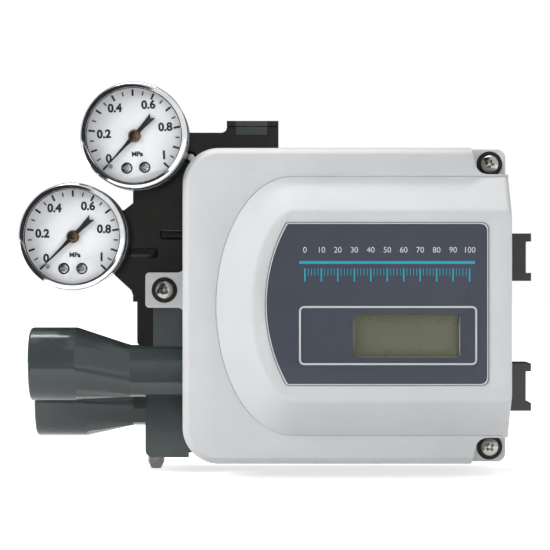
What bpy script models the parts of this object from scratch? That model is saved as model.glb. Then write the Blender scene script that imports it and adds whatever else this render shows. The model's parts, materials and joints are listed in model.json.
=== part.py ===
"""Valve positioner: the electro-pneumatic controller that is bolted to a control valve.

Units are metres, with +X to the right, +Y to the back and +Z up. The origin is the centre of the
raised pad on the back, which seats on the valve's bracket. The cover faces -Y.
"""

import math

import bmesh
import bpy
from mathutils import Matrix, Vector

# Clearances
SEAT_GAP = 0.0003
BORE_GAP = 0.0001
SINK = 0.001
TAP_RUN_OUT = 0.001
LEAST_ROUND = 0.0005
PAN_HEAD_FLAT = 0.6
PAN_HEAD_EDGE = 0.45

# Main housing
HOUSING_WIDTH = 0.1287
HOUSING_HEIGHT = 0.1248
HOUSING_DEPTH = 0.054
HOUSING_WALL = 0.0036
BACK_WALL = 0.009
LEFT_CORNER_RADIUS = 0.0136
RIGHT_CORNER_RADIUS = 0.0035

# Raised pad on the back, with its four tapped holes
PAD_WIDTH = 0.080
PAD_HEIGHT = 0.075
PAD_RISE = 0.002
PAD_HOLE_SPAN_X = 0.050
PAD_HOLE_SPAN_Z = 0.055
PAD_HOLE_RADIUS = 0.0034
PAD_HOLE_DEPTH = 0.014
PAD_BOSS_RADIUS = 0.0065

# Ears on the right, each with a channel and a tapped hole
EAR_REACH = 0.0152
EAR_HEIGHT = 0.020
EAR_DEPTH = 0.024
EAR_BACK_SETBACK = 0.006
EAR_CENTRES = (0.0199, -0.0348)
EAR_CHANNEL_HEIGHT = 0.0132
EAR_CHANNEL_DEPTH = 0.0022
EAR_HOLE_RADIUS = 0.0034
EAR_HOLE_DEPTH = 0.012

# Conduit entries on the left; the front one stands higher than the rear one
CONDUIT_REACH = 0.06525
CONDUIT_RADIUS = 0.0153
CONDUIT_RIM_ROUND = 0.0014
CONDUIT_PORT_RADIUS = 0.0095
CONDUIT_PORT_DEPTH = 0.018
CONDUIT_PASSAGE_RADIUS = 0.0070
CONDUIT_NECK_REACH = 0.02365
FRONT_CONDUIT_SETBACK = 0.0100
FRONT_NECK_SETBACK = 0.0112
FRONT_CONDUIT_Z = -0.02455
FRONT_NECK_Z = -0.0274
FRONT_NECK_RADIUS = 0.0107
FRONT_TAPER_REACH = 0.04585
REAR_CONDUIT_SETBACK = 0.0160
REAR_CONDUIT_Z = -0.0408
REAR_NECK_Z = -0.0395
REAR_NECK_RADIUS = 0.0118
REAR_TAPER_REACH = 0.0436
NECK_SQUARENESS = 5
CONDUIT_FACETS = 28

# Lower left corner box, the lug behind the cover's tab and the web below that lug
CORNER_BOX_REACH = 0.0177
CORNER_BOX_RISE = 0.0244
CORNER_BOX_DROP = 0.0009
CORNER_BOX_SETBACK = 0.010
CORNER_BOX_ROUND = 0.003
CORNER_BOX_REAR = 0.016
LUG_DEPTH = 0.0115
WEB_REACH = 0.01415
WEB_BOTTOM = -0.0188
WEB_SETBACK = 0.004

# Cover: a flange with a dome lofted in front of it
COVER_OVERHANG = 0.001
FLANGE_DEPTH = 0.0257
COVER_WALL = 0.003
COVER_SKIRT = 0.0052
CROWN_WALL = 0.004
DOME_HEIGHT = 0.014
DOME_RIGHT_INSET = 0.0002
DOME_BASE_DROP = 0.0109
DOME_BASE_LEFT_RADIUS = 0.0302
DOME_BASE_CENTRE_INSET = 0.04295
DOME_CROWN_DROP = 0.0249
DOME_CROWN_LEFT_RADIUS = 0.0170
DOME_CROWN_CENTRE_INSET = 0.04395
DOME_CORNER_CHAMFER = 0.0019
DOME_FOOT_ROUND = 0.0012
DOME_CROWN_ROUND = 0.0012
TAB_REACH = 0.0156
TAB_BOTTOM = -0.0009
TAB_TOP = 0.0134
TAB_ROUND = 0.0016
TAB_FILLET = 0.0025
FLANGE_EDGE_ROUND = 0.0024
SCREW_LAND = 0.010
POCKET_WIDTH_AT_EDGE = 0.0160
POCKET_WIDTH_AT_DOME = 0.0126
POCKET_RUN_OUT = 0.0050

# Gasket in the cover's groove
GASKET_WIDTH = 0.0014
GASKET_DEPTH = 0.0020
GASKET_INSET = 0.0004

# Cover screws
SCREW_RADIUS = 0.0025
SCREW_HEAD_RADIUS = 0.0043
SCREW_HEAD_HEIGHT = 0.0032
SCREW_LENGTH = 0.018
SCREW_SEAT_RADIUS = 0.00525
SCREW_SEAT_DEPTH = 0.0008
SCREW_BOSS_RADIUS = 0.0044
CORNER_SCREW_INSET = 0.00545
CORNER_SCREW_DROP = 0.005
TAB_SCREW_REACH = 0.00885
TAB_SCREW_Z = 0.0063

# Name panel and window in the crown
PANEL_LEFT_INSET = 0.03225
PANEL_RIGHT_INSET = 0.00845
PANEL_BOTTOM_INSET = 0.0064
PANEL_TOP_INSET = 0.0044
PANEL_BOW = 0.0083
PANEL_CORNER = 0.0030
PANEL_THICKNESS = 0.0010
PANEL_RECESS = 0.0010
WINDOW_WIDTH = 0.0408
WINDOW_RIGHT_INSET = 0.01945
WINDOW_BOTTOM = -0.0197
WINDOW_TOP = -0.0038
LENS_MARGIN = 0.0020
LENS_THICKNESS = 0.0013

# Pneumatic block, which wraps the housing's upper left corner
BLOCK_REACH = 0.02295
BLOCK_FOOT_REACH = 0.02125
BLOCK_RISE = 0.0092
BLOCK_FOOT_TOP = 0.0013
BLOCK_BOTTOM = -0.0167
BLOCK_FRONT_SETBACK = 0.012
BLOCK_ROUND = 0.0012
FLANGE_PLATE_REACH = 0.01825
FLANGE_PLATE_RISE = 0.0036
FLANGE_PLATE_BOTTOM = -0.0150
FLANGE_PLATE_ROUND = 0.0040
FLANGE_PLATE_DEPTH = 0.0086
SHEET_GASKET_ROUND = 0.0030
SHEET_GASKET = 0.0008
RELAY_INSET = 0.01605
RELAY_WIDTH = 0.0215
RELAY_RISE = 0.0141
RELAY_FILLET = 0.0022
PILOT_COVER_THICKNESS = 0.0025
PILOT_CHAMBER_RADIUS = 0.0055
PILOT_FLOOR = 0.0018
RELAY_PAD_INSET = 0.0039
RELAY_PAD_WIDTH = 0.0129
RELAY_PAD_DROP = 0.0010
RELAY_PAD_RISE = 0.0006
ARM_TOP_RISE = 0.0145
ARM_OUTER_RISE = 0.0116
ARM_TOP_RUN = 0.0037
ARM_BOTTOM_DROP = 0.0138
ARM_END_RADIUS = 0.0130
ARM_SLOPE_REACH = 0.0094
ARM_SLOPE_END = 0.0007
ARM_SLOPE_DROP = 0.0080
ARM_FOOT_DROP = 0.0100
RIB_RADIUS = 0.0026
RIB_PROUD = 0.0010
RIB_END_ROUND = 0.0008
ARM_RIB = {"start": 0.0247, "end": 0.0127, "below_gauge": 0.0063}
INNER_RIB = {"start": 0.0118, "end": 0.0014, "below_gauge": -0.0013}
GAUGE_BOSS_DEPTH = 0.0110

# Air ports and their galleries
PORT_RADIUS = 0.0058
PORT_DEPTH = 0.0140
PORT_FACE_RADIUS = 0.0070
PORT_FACE_DEPTH = 0.0005
SUPPLY_PORT_Z = -0.0060
OUTPUT_PORT_REACH = 0.00825
OUTPUT_PORT_INSET = 0.0090
GALLERY_RADIUS = 0.0015
GALLERY_REACH = 0.01325
GAUGE_GALLERY_REACH = 0.01465
GAUGE_GALLERY_RISE = 0.0036

# Screws that hold the block, and the ones in the pilot cover
BLOCK_SCREW_RADIUS = 0.0015
BLOCK_SCREW_HEAD_RADIUS = 0.0024
BLOCK_SCREW_HEAD_HEIGHT = 0.0022
BLOCK_SCREW_BITE = 0.005
UPPER_SCREW_INSET = 0.00115
UPPER_SCREW_DROP = 0.0011
LOWER_SCREW_REACH = 0.00775
LOWER_SCREW_Z = 0.0060
PILOT_SCREW_RADIUS = 0.0010
PILOT_SCREW_HEAD_RADIUS = 0.0019
PILOT_SCREW_HEAD_HEIGHT = 0.0012
PILOT_SCREW_LENGTH = 0.0060
PILOT_SCREW_INSET = 0.0040

# Pressure gauges
GAUGE_RADIUS = 0.0215
GAUGE_OPENING_RADIUS = 0.0192
OUTPUT_GAUGE_REACH = 0.02025
OUTPUT_GAUGE_RISE = 0.0058
SUPPLY_GAUGE_REACH = 0.04495
SUPPLY_GAUGE_DROP = 0.0346
GAUGE_FACETS = 24
GAUGE_STANDOFF = 0.010
GAUGE_DEPTH = 0.027
GAUGE_WALL = 0.0012
GAUGE_CASE_CHAMFER = 0.0010
GAUGE_BEZEL_WALL = 0.0008
GAUGE_BEZEL_DEPTH = 0.0090
GAUGE_BEZEL_LIP = 0.0012
GAUGE_LIP_CHAMFER = 0.0004
GAUGE_EDGE_CHAMFER = 0.0010
GAUGE_LENS_THICKNESS = 0.0015
GAUGE_DIAL_THICKNESS = 0.0006
GAUGE_STEM_RADIUS = 0.0050
GAUGE_STEM_DEPTH = 0.0080
GAUGE_NUT_RADIUS = 0.0081
MOVEMENT_WIDTH = 0.0120
MOVEMENT_HEIGHT = 0.0090
MOVEMENT_SETBACK = 0.0060
POINTER_LENGTH = 0.0180
POINTER_TAIL = 0.0100
POINTER_TAIL_WIDTH = 0.0020
POINTER_TIP_WIDTH = 0.0005
POINTER_THICKNESS = 0.0005
POINTER_NOTCH = 0.0012
POINTER_HUB_RADIUS = 0.0020
POINTER_HUB_RISE = 0.0004
POINTER_LIFT = 0.0006
POINTER_REST_ANGLE = 225.0
ARBOR_RADIUS = 0.0009
ARBOR_DEPTH = 0.0050
BOURDON_RADIUS = 0.0140
BOURDON_TUBE_RADIUS = 0.0014
BOURDON_SETBACK = 0.0110

# Feedback shaft, its bush, lever and gears
SHAFT_X = 0.0
SHAFT_Z = -0.0220
SHAFT_RADIUS = 0.0050
SHAFT_SEAT_RADIUS = 0.0040
SHAFT_COLLAR_RADIUS = 0.0062
SHAFT_COLLAR = 0.0012
SHAFT_CHAMFER = 0.0006
BUSH_WALL = 0.0020
BUSH_FLANGE_RADIUS = 0.0095
BUSH_FLANGE = 0.0015
LEVER_STANDOFF = 0.0030
LEVER_THICKNESS = 0.0030
LEVER_HUB_RADIUS = 0.0090
LEVER_REACH = 0.0500
LEVER_WIDTH = 0.0120
LEVER_SLOT_WIDTH = 0.0060
LEVER_SLOT_START = 0.0190
WASHER_RADIUS = 0.0080
WASHER_THICKNESS = 0.0015
NUT_ACROSS_FLATS = 0.0130
NUT_HEIGHT = 0.0060
THREAD_END = 0.0015
GEAR_MODULE = 0.0008
GEAR_PRESSURE_ANGLE = 20.0
GEAR_BACKLASH = 0.00012
GEAR_DEDENDUM = 1.25
GEAR_FACE = 0.0040
DRIVE_TEETH = 40
PINION_TEETH = 16
GEAR_WEB_RADIUS = 0.0120
GEAR_WEB_RECESS = 0.0010
GEAR_HUB_WALL = 0.0030

# Angle sensor that the pinion turns
SENSOR_RADIUS = 0.0110
SENSOR_DEPTH = 0.0080
SENSOR_SHAFT_RADIUS = 0.0030
SENSOR_SHAFT_DEPTH = 0.0060
PINION_HUB = 0.0005
BRACKET_THICKNESS = 0.0016
BRACKET_WIDTH = 0.0300
BRACKET_HEIGHT = 0.0130
BRACKET_FOOT_WIDTH = 0.0016
BRACKET_FOOT_RISE = 0.0020
BRACKET_DROP = 0.0110
BRACKET_CLEARANCE = 0.0012
BRACKET_ROUND = 0.0010

# Torque motor, flapper and nozzle
MOTOR_BOTTOM = -0.0135
MOTOR_INSET = 0.01465
MOTOR_DEPTH = 0.0140
MOTOR_SHELF = 0.0084
YOKE_WIDTH = 0.0240
YOKE_HEIGHT = 0.0240
YOKE_BAR = 0.0040
POLE_GAP = 0.0060
POLE_HEIGHT = 0.0040
MAGNET_DEPTH = 0.0040
MAGNET_HEIGHT = 0.0060
COIL_HEIGHT = 0.0110
COIL_WALL = 0.0040
COIL_END = 0.0029
COIL_ROUND = 0.0020
COIL_HOLE_ROUND = 0.0005
FLAPPER_THICKNESS = 0.0016
FLAPPER_WIDTH = 0.0070
FLAPPER_HEIGHT = 0.0340
NOZZLE_DROP = 0.0030
NOZZLE_AIR_GAP = 0.0005
NOZZLE_RADIUS = 0.0022
NOZZLE_TIP_RADIUS = 0.0010
NOZZLE_FLANGE_RADIUS = 0.0045
NOZZLE_FLANGE = 0.0025
NOZZLE_BORE_RADIUS = 0.0004

# Electronics
BOARD_STANDOFF = 0.023
BOARD_THICKNESS = 0.0016
BOARD_LEFT_INSET = 0.03535
BOARD_RIGHT_INSET = 0.00835
BOARD_HALF_HEIGHT = 0.0320
POST_RADIUS = 0.0042
POST_RIGHT_INSET = 0.01435
CASE_SETBACK = 0.0060
CASE_WALL = 0.0020
CASE_ROUND = 0.003
DISPLAY_CLEARANCE = 0.0008
DISPLAY_MARGIN = 0.0030
BUTTON_RADIUS = 0.0035
BUTTON_CHAMFER = 0.0006
BUTTON_RISE = 0.0030
BUTTON_TRAVEL = 0.0008
BUTTON_Z = 0.0140
BUTTON_INSETS = {"up_button": 0.0470, "down_button": 0.0310, "enter_button": 0.0150}
BUTTON_STEM_RADIUS = 0.0018
BUTTON_FLANGE_RADIUS = 0.0026
BUTTON_FLANGE = 0.0008

# Wiring terminals
TERMINAL_LEFT = -0.0200
TERMINAL_RIGHT = 0.0380
TERMINAL_RISE = 0.0084
TERMINAL_HEIGHT = 0.0150
TERMINAL_DEPTH = 0.014
TERMINAL_COUNT = 4
TERMINAL_SETBACK = 0.014
TERMINAL_WELL = 0.0025
TERMINAL_SCREW_HEAD = 0.0030
TERMINAL_SCREW_RADIUS = 0.0015
TERMINAL_SCREW_HEIGHT = 0.0018
TERMINAL_SCREW_LENGTH = 0.0080
RIB_THICKNESS = 0.0012
WIRE_HOLE_RADIUS = 0.0016

# Earth screws, silencer, restrictor, manual screw and blanking plug
EARTH_RADIUS = 0.0020
EARTH_HEAD_RADIUS = 0.0035
EARTH_HEAD_HEIGHT = 0.0026
EARTH_LENGTH = 0.0080
EARTH_INSIDE_INSET = 0.01635
EARTH_INSIDE_RISE = 0.0104
EARTH_BOSS_RADIUS = 0.0050
EARTH_BOSS_HEIGHT = 0.0080
EARTH_OUTSIDE_REACH = 0.01385
EARTH_OUTSIDE_SETBACK = 0.024
EARTH_OUTSIDE_HEIGHT = 0.0052
SILENCER_RADIUS = 0.0045
SILENCER_LENGTH = 0.0090
SILENCER_SPIGOT_RADIUS = 0.0030
SILENCER_SPIGOT = 0.0032
SILENCER_STRAIGHT = 0.0063
SILENCER_TIP_RADIUS = 0.0027
SILENCER_REACH = 0.01225
SILENCER_INSET = 0.0065
RESTRICTOR_RADIUS = 0.0028
RESTRICTOR_DEPTH = 0.0060
RESTRICTOR_SETBACK = 0.0060
RESTRICTOR_RISE = 0.00335
RESTRICTOR_SLOT_WIDTH = 0.0008
RESTRICTOR_SLOT_DEPTH = 0.0010
MANUAL_SCREW_RADIUS = 0.0032
MANUAL_SCREW_DEPTH = 0.0090
MANUAL_SLOT_WIDTH = 0.0010
MANUAL_SLOT_DEPTH = 0.0012
MANUAL_SCREW_DROP = 0.0134
PLUG_RADIUS = 0.0093
PLUG_DEPTH = 0.0120
PLUG_SOCKET = 0.0080
PLUG_SOCKET_RADIUS = 0.0058
PLUG_SETBACK = 0.0010

# Pilot poppet and its spring
POPPET_RADIUS = 0.0045
POPPET_THICKNESS = 0.0018
POPPET_STEM_RADIUS = 0.0012
POPPET_STEM = 0.0024
SPRING_RADIUS = 0.0026
SPRING_WIRE_RADIUS = 0.00035
SPRING_TURNS = 2.5

# Places worked out from the sizes above
BACK = -PAD_RISE
FRONT = BACK - HOUSING_DEPTH
FLOOR = BACK - BACK_WALL
SIDE = HOUSING_WIDTH / 2
TOP = HOUSING_HEIGHT / 2
CONDUIT_END = -SIDE - CONDUIT_REACH
CONDUIT_TAPER_END = -SIDE - CONDUIT_NECK_REACH
FRONT_TAPER_START = -SIDE - FRONT_TAPER_REACH
REAR_TAPER_START = -SIDE - REAR_TAPER_REACH
WEB_LEFT = -SIDE - WEB_REACH
BLOCK_LEFT = -SIDE - BLOCK_REACH
BLOCK_FOOT_LEFT = -SIDE - BLOCK_FOOT_REACH
FLANGE_PLATE_LEFT = -SIDE - FLANGE_PLATE_REACH
OUTPUT_PORT_X = -SIDE - OUTPUT_PORT_REACH
GALLERY_X = -SIDE - GALLERY_REACH
GAUGE_GALLERY_X = -SIDE - GAUGE_GALLERY_REACH
TAB_SCREW_X = -SIDE - TAB_SCREW_REACH
EARTH_OUTSIDE_X = -SIDE - EARTH_OUTSIDE_REACH
SILENCER_X = -SIDE - SILENCER_REACH
RELAY_LEFT = -SIDE + RELAY_INSET
PANEL_LEFT = -SIDE + PANEL_LEFT_INSET
BOARD_LEFT = -SIDE + BOARD_LEFT_INSET
DOME_BASE_LEFT_CENTRE = -SIDE + DOME_BASE_CENTRE_INSET
DOME_CROWN_LEFT_CENTRE = -SIDE + DOME_CROWN_CENTRE_INSET
CORNER_SCREW_X = SIDE - CORNER_SCREW_INSET
PANEL_RIGHT = SIDE - PANEL_RIGHT_INSET
WINDOW_RIGHT = SIDE - WINDOW_RIGHT_INSET
BOARD_RIGHT = SIDE - BOARD_RIGHT_INSET
POST_RIGHT_X = SIDE - POST_RIGHT_INSET
BLOCK_TOP = TOP + BLOCK_RISE
RELAY_TOP = TOP + RELAY_RISE
FLANGE_PLATE_TOP = TOP + FLANGE_PLATE_RISE
MANUAL_SCREW_Z = TOP - MANUAL_SCREW_DROP
GAUGE_GALLERY_Z = TOP + GAUGE_GALLERY_RISE
CORNER_SCREW_Z = TOP - CORNER_SCREW_DROP
DOME_BASE_HALF_HEIGHT = TOP - DOME_BASE_DROP
DOME_CROWN_HALF_HEIGHT = TOP - DOME_CROWN_DROP
CORNER_BOX_BOTTOM = -TOP - CORNER_BOX_DROP
CORNER_BOX_TOP = -TOP + CORNER_BOX_RISE
TERMINAL_BOTTOM = -TOP + TERMINAL_RISE
RELAY_RIGHT = RELAY_LEFT + RELAY_WIDTH
WINDOW_LEFT = WINDOW_RIGHT - WINDOW_WIDTH
TERMINAL_TOP = TERMINAL_BOTTOM + TERMINAL_HEIGHT
PANEL_TOP = DOME_CROWN_HALF_HEIGHT - PANEL_TOP_INSET
PANEL_BOTTOM = PANEL_BOTTOM_INSET - DOME_CROWN_HALF_HEIGHT
GAUGE_CENTRES = {
    "output_gauge": (-SIDE - OUTPUT_GAUGE_REACH, TOP + OUTPUT_GAUGE_RISE),
    "supply_gauge": (-SIDE - SUPPLY_GAUGE_REACH, TOP - SUPPLY_GAUGE_DROP)}
ARM_TOP = GAUGE_CENTRES["supply_gauge"][1] + ARM_TOP_RISE
ARM_TOP_OUTER = GAUGE_CENTRES["supply_gauge"][1] + ARM_OUTER_RISE
ARM_BOTTOM = GAUGE_CENTRES["supply_gauge"][1] - ARM_BOTTOM_DROP
BLOCK_SCREWS = (
    (-SIDE + UPPER_SCREW_INSET, TOP - UPPER_SCREW_DROP), (-SIDE - LOWER_SCREW_REACH, LOWER_SCREW_Z))
EARTH_INSIDE = (-SIDE + EARTH_INSIDE_INSET, -TOP + EARTH_INSIDE_RISE)
FRONT_CONDUIT = {
    "y": FRONT + FRONT_CONDUIT_SETBACK, "z": FRONT_CONDUIT_Z, "taper": FRONT_TAPER_START,
    "neck_y": FRONT + FRONT_NECK_SETBACK, "neck_z": FRONT_NECK_Z, "neck": FRONT_NECK_RADIUS}
REAR_CONDUIT = {
    "y": BACK - REAR_CONDUIT_SETBACK, "z": REAR_CONDUIT_Z, "taper": REAR_TAPER_START,
    "neck_y": BACK - REAR_CONDUIT_SETBACK, "neck_z": REAR_NECK_Z, "neck": REAR_NECK_RADIUS}
COVER_BACK = FRONT - SEAT_GAP
FLANGE_FRONT = COVER_BACK - FLANGE_DEPTH
CROWN = FLANGE_FRONT - DOME_HEIGHT
LAND_FRONT = COVER_BACK - SCREW_LAND
COVER_SIDE = SIDE + COVER_OVERHANG
COVER_TOP = TOP + COVER_OVERHANG
BLOCK_FRONT = FRONT + BLOCK_FRONT_SETBACK
PLATE_FRONT = BACK - FLANGE_PLATE_DEPTH
BLOCK_BACK = PLATE_FRONT - SHEET_GASKET - 2 * SEAT_GAP
BLOCK_MIDDLE = (BLOCK_FRONT + BLOCK_BACK) / 2
GEAR_BACK = FLOOR - SEAT_GAP - BUSH_FLANGE - 2 * SEAT_GAP - SHAFT_COLLAR
GEAR_FRONT = GEAR_BACK - GEAR_FACE
DRIVE_PITCH_RADIUS = GEAR_MODULE * DRIVE_TEETH / 2
PINION_PITCH_RADIUS = GEAR_MODULE * PINION_TEETH / 2
PINION_Z = SHAFT_Z + DRIVE_PITCH_RADIUS + PINION_PITCH_RADIUS
CASE_FRONT = FLANGE_FRONT + CASE_SETBACK
MOTOR_X = -SIDE + HOUSING_WALL + MOTOR_INSET
YOKE_SEAT = FLOOR - MOTOR_SHELF
MOTOR_BACK = YOKE_SEAT - 2 * SEAT_GAP - MAGNET_DEPTH
DISPLAY_FRONT = CROWN + CROWN_WALL + DISPLAY_CLEARANCE
BOARD_BACK = FLOOR - BOARD_STANDOFF - SEAT_GAP
BOARD_FRONT = BOARD_BACK - BOARD_THICKNESS
RELAY_X = (RELAY_LEFT + RELAY_RIGHT) / 2
RELAY_LID = RELAY_TOP - PILOT_COVER_THICKNESS
PILOT_CHAMBER_FLOOR = TOP + SEAT_GAP + PILOT_FLOOR

# Finishes: colour, roughness and metallic value
FINISHES = {
    "slate": ((0.070, 0.085, 0.085), 0.55, 0.2),
    "black": ((0.012, 0.013, 0.011), 0.50, 0.2),
    "grey": ((0.62, 0.63, 0.62), 0.42, 0.1),
    "panel": ((0.075, 0.095, 0.130), 0.45, 0.0),
    "clear": ((0.80, 0.85, 0.85), 0.08, 0.0),
    "display": ((0.140, 0.150, 0.090), 0.30, 0.0),
    "chrome": ((0.80, 0.80, 0.80), 0.12, 1.0),
    "steel": ((0.56, 0.56, 0.55), 0.30, 1.0),
    "brass": ((0.60, 0.43, 0.18), 0.30, 1.0),
    "bronze": ((0.45, 0.30, 0.15), 0.45, 1.0),
    "copper": ((0.55, 0.22, 0.10), 0.35, 0.8),
    "white": ((0.85, 0.85, 0.84), 0.50, 0.0),
    "ink": ((0.010, 0.010, 0.010), 0.45, 0.0),
    "rubber": ((0.015, 0.015, 0.015), 0.80, 0.0),
    "green": ((0.020, 0.120, 0.050), 0.40, 0.0),
    "nylon": ((0.75, 0.74, 0.68), 0.50, 0.0),
}

# Local axes of a flat outline or a turned profile, for each direction that it can be drawn along
OUTLINE_TURNS = {
    "X": Matrix(((0, 0, 1), (1, 0, 0), (0, 1, 0))).to_4x4(),
    "Y": Matrix(((1, 0, 0), (0, 0, -1), (0, 1, 0))).to_4x4(),
    "Z": Matrix.Identity(4),
}
PROFILE_TURNS = {
    "X": Matrix.Rotation(math.radians(90), 4, "Y"),
    "Y": Matrix.Rotation(math.radians(-90), 4, "X"),
    "Z": Matrix.Identity(4),
}


def clear_scene():
    """Remove every object and make the two collections."""
    for obj in list(bpy.data.objects):
        bpy.data.objects.remove(obj)
    for name in ("valve_positioner", "cutters"):
        collection = bpy.data.collections.new(name)
        bpy.context.scene.collection.children.link(collection)


def tool(mesh):
    """An object that only cuts or joins others."""
    obj = bpy.data.objects.new("tool", mesh)
    obj.hide_render = True
    obj.display_type = "WIRE"
    bpy.data.collections["cutters"].objects.link(obj)
    return obj


def piece(obj, name, finish):
    """Make an object a piece of the positioner, with a finish of its own."""
    obj.name = name
    obj.hide_render = False
    obj.display_type = "TEXTURED"
    bpy.data.collections["cutters"].objects.unlink(obj)
    bpy.data.collections["valve_positioner"].objects.link(obj)
    colour, roughness, metallic = FINISHES[finish]
    material = bpy.data.materials.new(name + "_" + finish)
    material.use_nodes = True
    shader = material.node_tree.nodes["Principled BSDF"]
    shader.inputs["Base Color"].default_value = (*colour, 1.0)
    shader.inputs["Roughness"].default_value = roughness
    shader.inputs["Metallic"].default_value = metallic
    obj.data.materials.append(material)
    return obj


def combine(target, operation, others):
    for other in others:
        modifier = target.modifiers.new(other.name, "BOOLEAN")
        modifier.operation = operation
        modifier.object = other
    return target


def cut(target, *cutters):
    return combine(target, "DIFFERENCE", cutters)


def join(target, *others):
    return combine(target, "UNION", others)


def box(x_range, y_range, z_range):
    """A box between two limits on each axis."""
    ranges = (x_range, y_range, z_range)
    size = Vector([max(pair) - min(pair) for pair in ranges])
    centre = Vector([sum(pair) / 2 for pair in ranges])
    bm = bmesh.new()
    bmesh.ops.create_cube(bm, size=1.0)
    bmesh.ops.transform(bm, verts=bm.verts, matrix=Matrix.LocRotScale(centre, None, size))
    mesh = bpy.data.meshes.new("box")
    bm.to_mesh(mesh)
    bm.free()
    return tool(mesh)


def place(axis, centre, along):
    """The world point with these two coordinates across an axis and this one along it."""
    spot = list(centre)
    spot.insert("XYZ".index(axis), along)
    return Vector(spot)


def rod(axis, centre, start, end, radius, sides=20):
    """A cylinder along one axis."""
    low, high = min(start, end), max(start, end)
    bm = bmesh.new()
    bmesh.ops.create_cone(
        bm, cap_ends=True, segments=sides, radius1=radius, radius2=radius, depth=high - low)
    turn = Matrix.Translation(place(axis, centre, (low + high) / 2)) @ PROFILE_TURNS[axis]
    bmesh.ops.transform(bm, verts=bm.verts, matrix=turn)
    mesh = bpy.data.meshes.new("rod")
    bm.to_mesh(mesh)
    bm.free()
    shade(mesh)
    return tool(mesh)


def shade(mesh, angle=35):
    """Smooth round faces and keep the corners sharp."""
    mesh.shade_smooth()
    mesh.set_sharp_from_angle(angle=math.radians(angle))


def turned(axis, centre, profile, steps=20):
    """A turned shape from points of (radius, distance along the axis)."""
    points = list(profile)
    on_axis = points[0][0] == 0 and points[-1][0] == 0
    area = sum(a[0] * b[1] - b[0] * a[1] for a, b in zip(points, points[1:] + points[:1]))
    if area > 0:
        points.reverse()
    mesh = bpy.data.meshes.new("turned")
    count = len(points)
    edges = [(index, index + 1) for index in range(count - 1)]
    if not on_axis:
        edges.append((count - 1, 0))
    mesh.from_pydata([(radius, 0, along) for radius, along in points], edges, [])
    obj = tool(mesh)
    obj.matrix_world = Matrix.Translation(place(axis, centre, 0)) @ PROFILE_TURNS[axis]
    modifier = obj.modifiers.new("turning", "SCREW")
    modifier.steps = steps
    modifier.render_steps = steps
    modifier.use_merge_vertices = True
    modifier.merge_threshold = 0.00001
    return obj


def arc(centre, radius, start, end, steps=8):
    """Points on an arc from one angle to another, in degrees; two radii make an ellipse."""
    across, up = radius if isinstance(radius, tuple) else (radius, radius)
    points = []
    for step in range(steps + 1):
        angle = math.radians(start + (end - start) * step / steps)
        points.append((centre[0] + across * math.cos(angle), centre[1] + up * math.sin(angle)))
    return points


def rounded(left, right, bottom, top, radii, steps=5):
    """A rectangle with rounded corners: bottom left, bottom right, top right, top left."""
    if not isinstance(radii, tuple):
        radii = (radii,) * 4
    corners = ((left, bottom, 1, 1, 180), (right, bottom, -1, 1, 270),
               (right, top, -1, -1, 0), (left, top, 1, -1, 90))
    points = []
    for (x, z, inward_x, inward_z, start), radius in zip(corners, radii):
        centre = (x + inward_x * radius, z + inward_z * radius)
        points += arc(centre, radius, start, start + 90, steps)
    return points


def prism(axis, outline, start, end, holes=()):
    """A flat outline in the two other axes, drawn along one axis from start to end."""
    curve = bpy.data.curves.new("outline", "CURVE")
    curve.dimensions = "2D"
    curve.fill_mode = "BOTH"
    curve.extrude = abs(end - start) / 2
    for loop in (outline, *holes):
        spline = curve.splines.new("POLY")
        spline.points.add(len(loop) - 1)
        for point, (across, up) in zip(spline.points, loop):
            point.co = (across, up, 0, 1)
        spline.use_cyclic_u = True
    flat = bpy.data.objects.new("outline", curve)
    mesh = bpy.data.meshes.new_from_object(flat)
    bpy.data.objects.remove(flat)
    bpy.data.curves.remove(curve)
    weld(mesh)
    turn = Matrix.Translation(place(axis, (0, 0), (start + end) / 2)) @ OUTLINE_TURNS[axis]
    mesh.transform(turn)
    shade(mesh)
    return tool(mesh)


def weld(mesh):
    bm = bmesh.new()
    bm.from_mesh(mesh)
    bmesh.ops.remove_doubles(bm, verts=bm.verts, dist=0.000001)
    bmesh.ops.recalc_face_normals(bm, faces=bm.faces)
    bm.to_mesh(mesh)
    bm.free()


def loft(sections):
    """A skin over sections with as many points each, closed by a face at both ends."""
    bm = bmesh.new()
    rings = [[bm.verts.new(point) for point in section] for section in sections]
    count = len(rings[0])
    for near, far in zip(rings, rings[1:]):
        for index in range(count):
            after = (index + 1) % count
            bm.faces.new((near[index], near[after], far[after], far[index]))
    bm.faces.new(rings[0])
    bm.faces.new(rings[-1])
    bmesh.ops.recalc_face_normals(bm, faces=bm.faces)
    mesh = bpy.data.meshes.new("loft")
    bm.to_mesh(mesh)
    bm.free()
    shade(mesh)
    return tool(mesh)


def tube(points, radius, sides_half=2, cyclic=False):
    """A round wire through points, with closed ends."""
    curve = bpy.data.curves.new("wire", "CURVE")
    curve.dimensions = "3D"
    curve.bevel_depth = radius
    curve.bevel_resolution = sides_half
    curve.use_fill_caps = not cyclic
    spline = curve.splines.new("POLY")
    spline.points.add(len(points) - 1)
    for point, spot in zip(spline.points, points):
        point.co = (*spot, 1)
    spline.use_cyclic_u = cyclic
    wire = bpy.data.objects.new("wire", curve)
    mesh = bpy.data.meshes.new_from_object(wire)
    bpy.data.objects.remove(wire)
    bpy.data.curves.remove(curve)
    weld(mesh)
    shade(mesh)
    return tool(mesh)


def joint_axis(name, spot):
    """An empty on a joint's axis, which carries the pieces that move with it."""
    empty = bpy.data.objects.new(name, None)
    empty.empty_display_size = 0.005
    empty.location = spot
    bpy.data.collections["valve_positioner"].objects.link(empty)
    return empty


def hang(empty, *objects):
    for obj in objects:
        obj.parent = empty
        obj.matrix_parent_inverse = Matrix.Translation(-empty.location)


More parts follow.
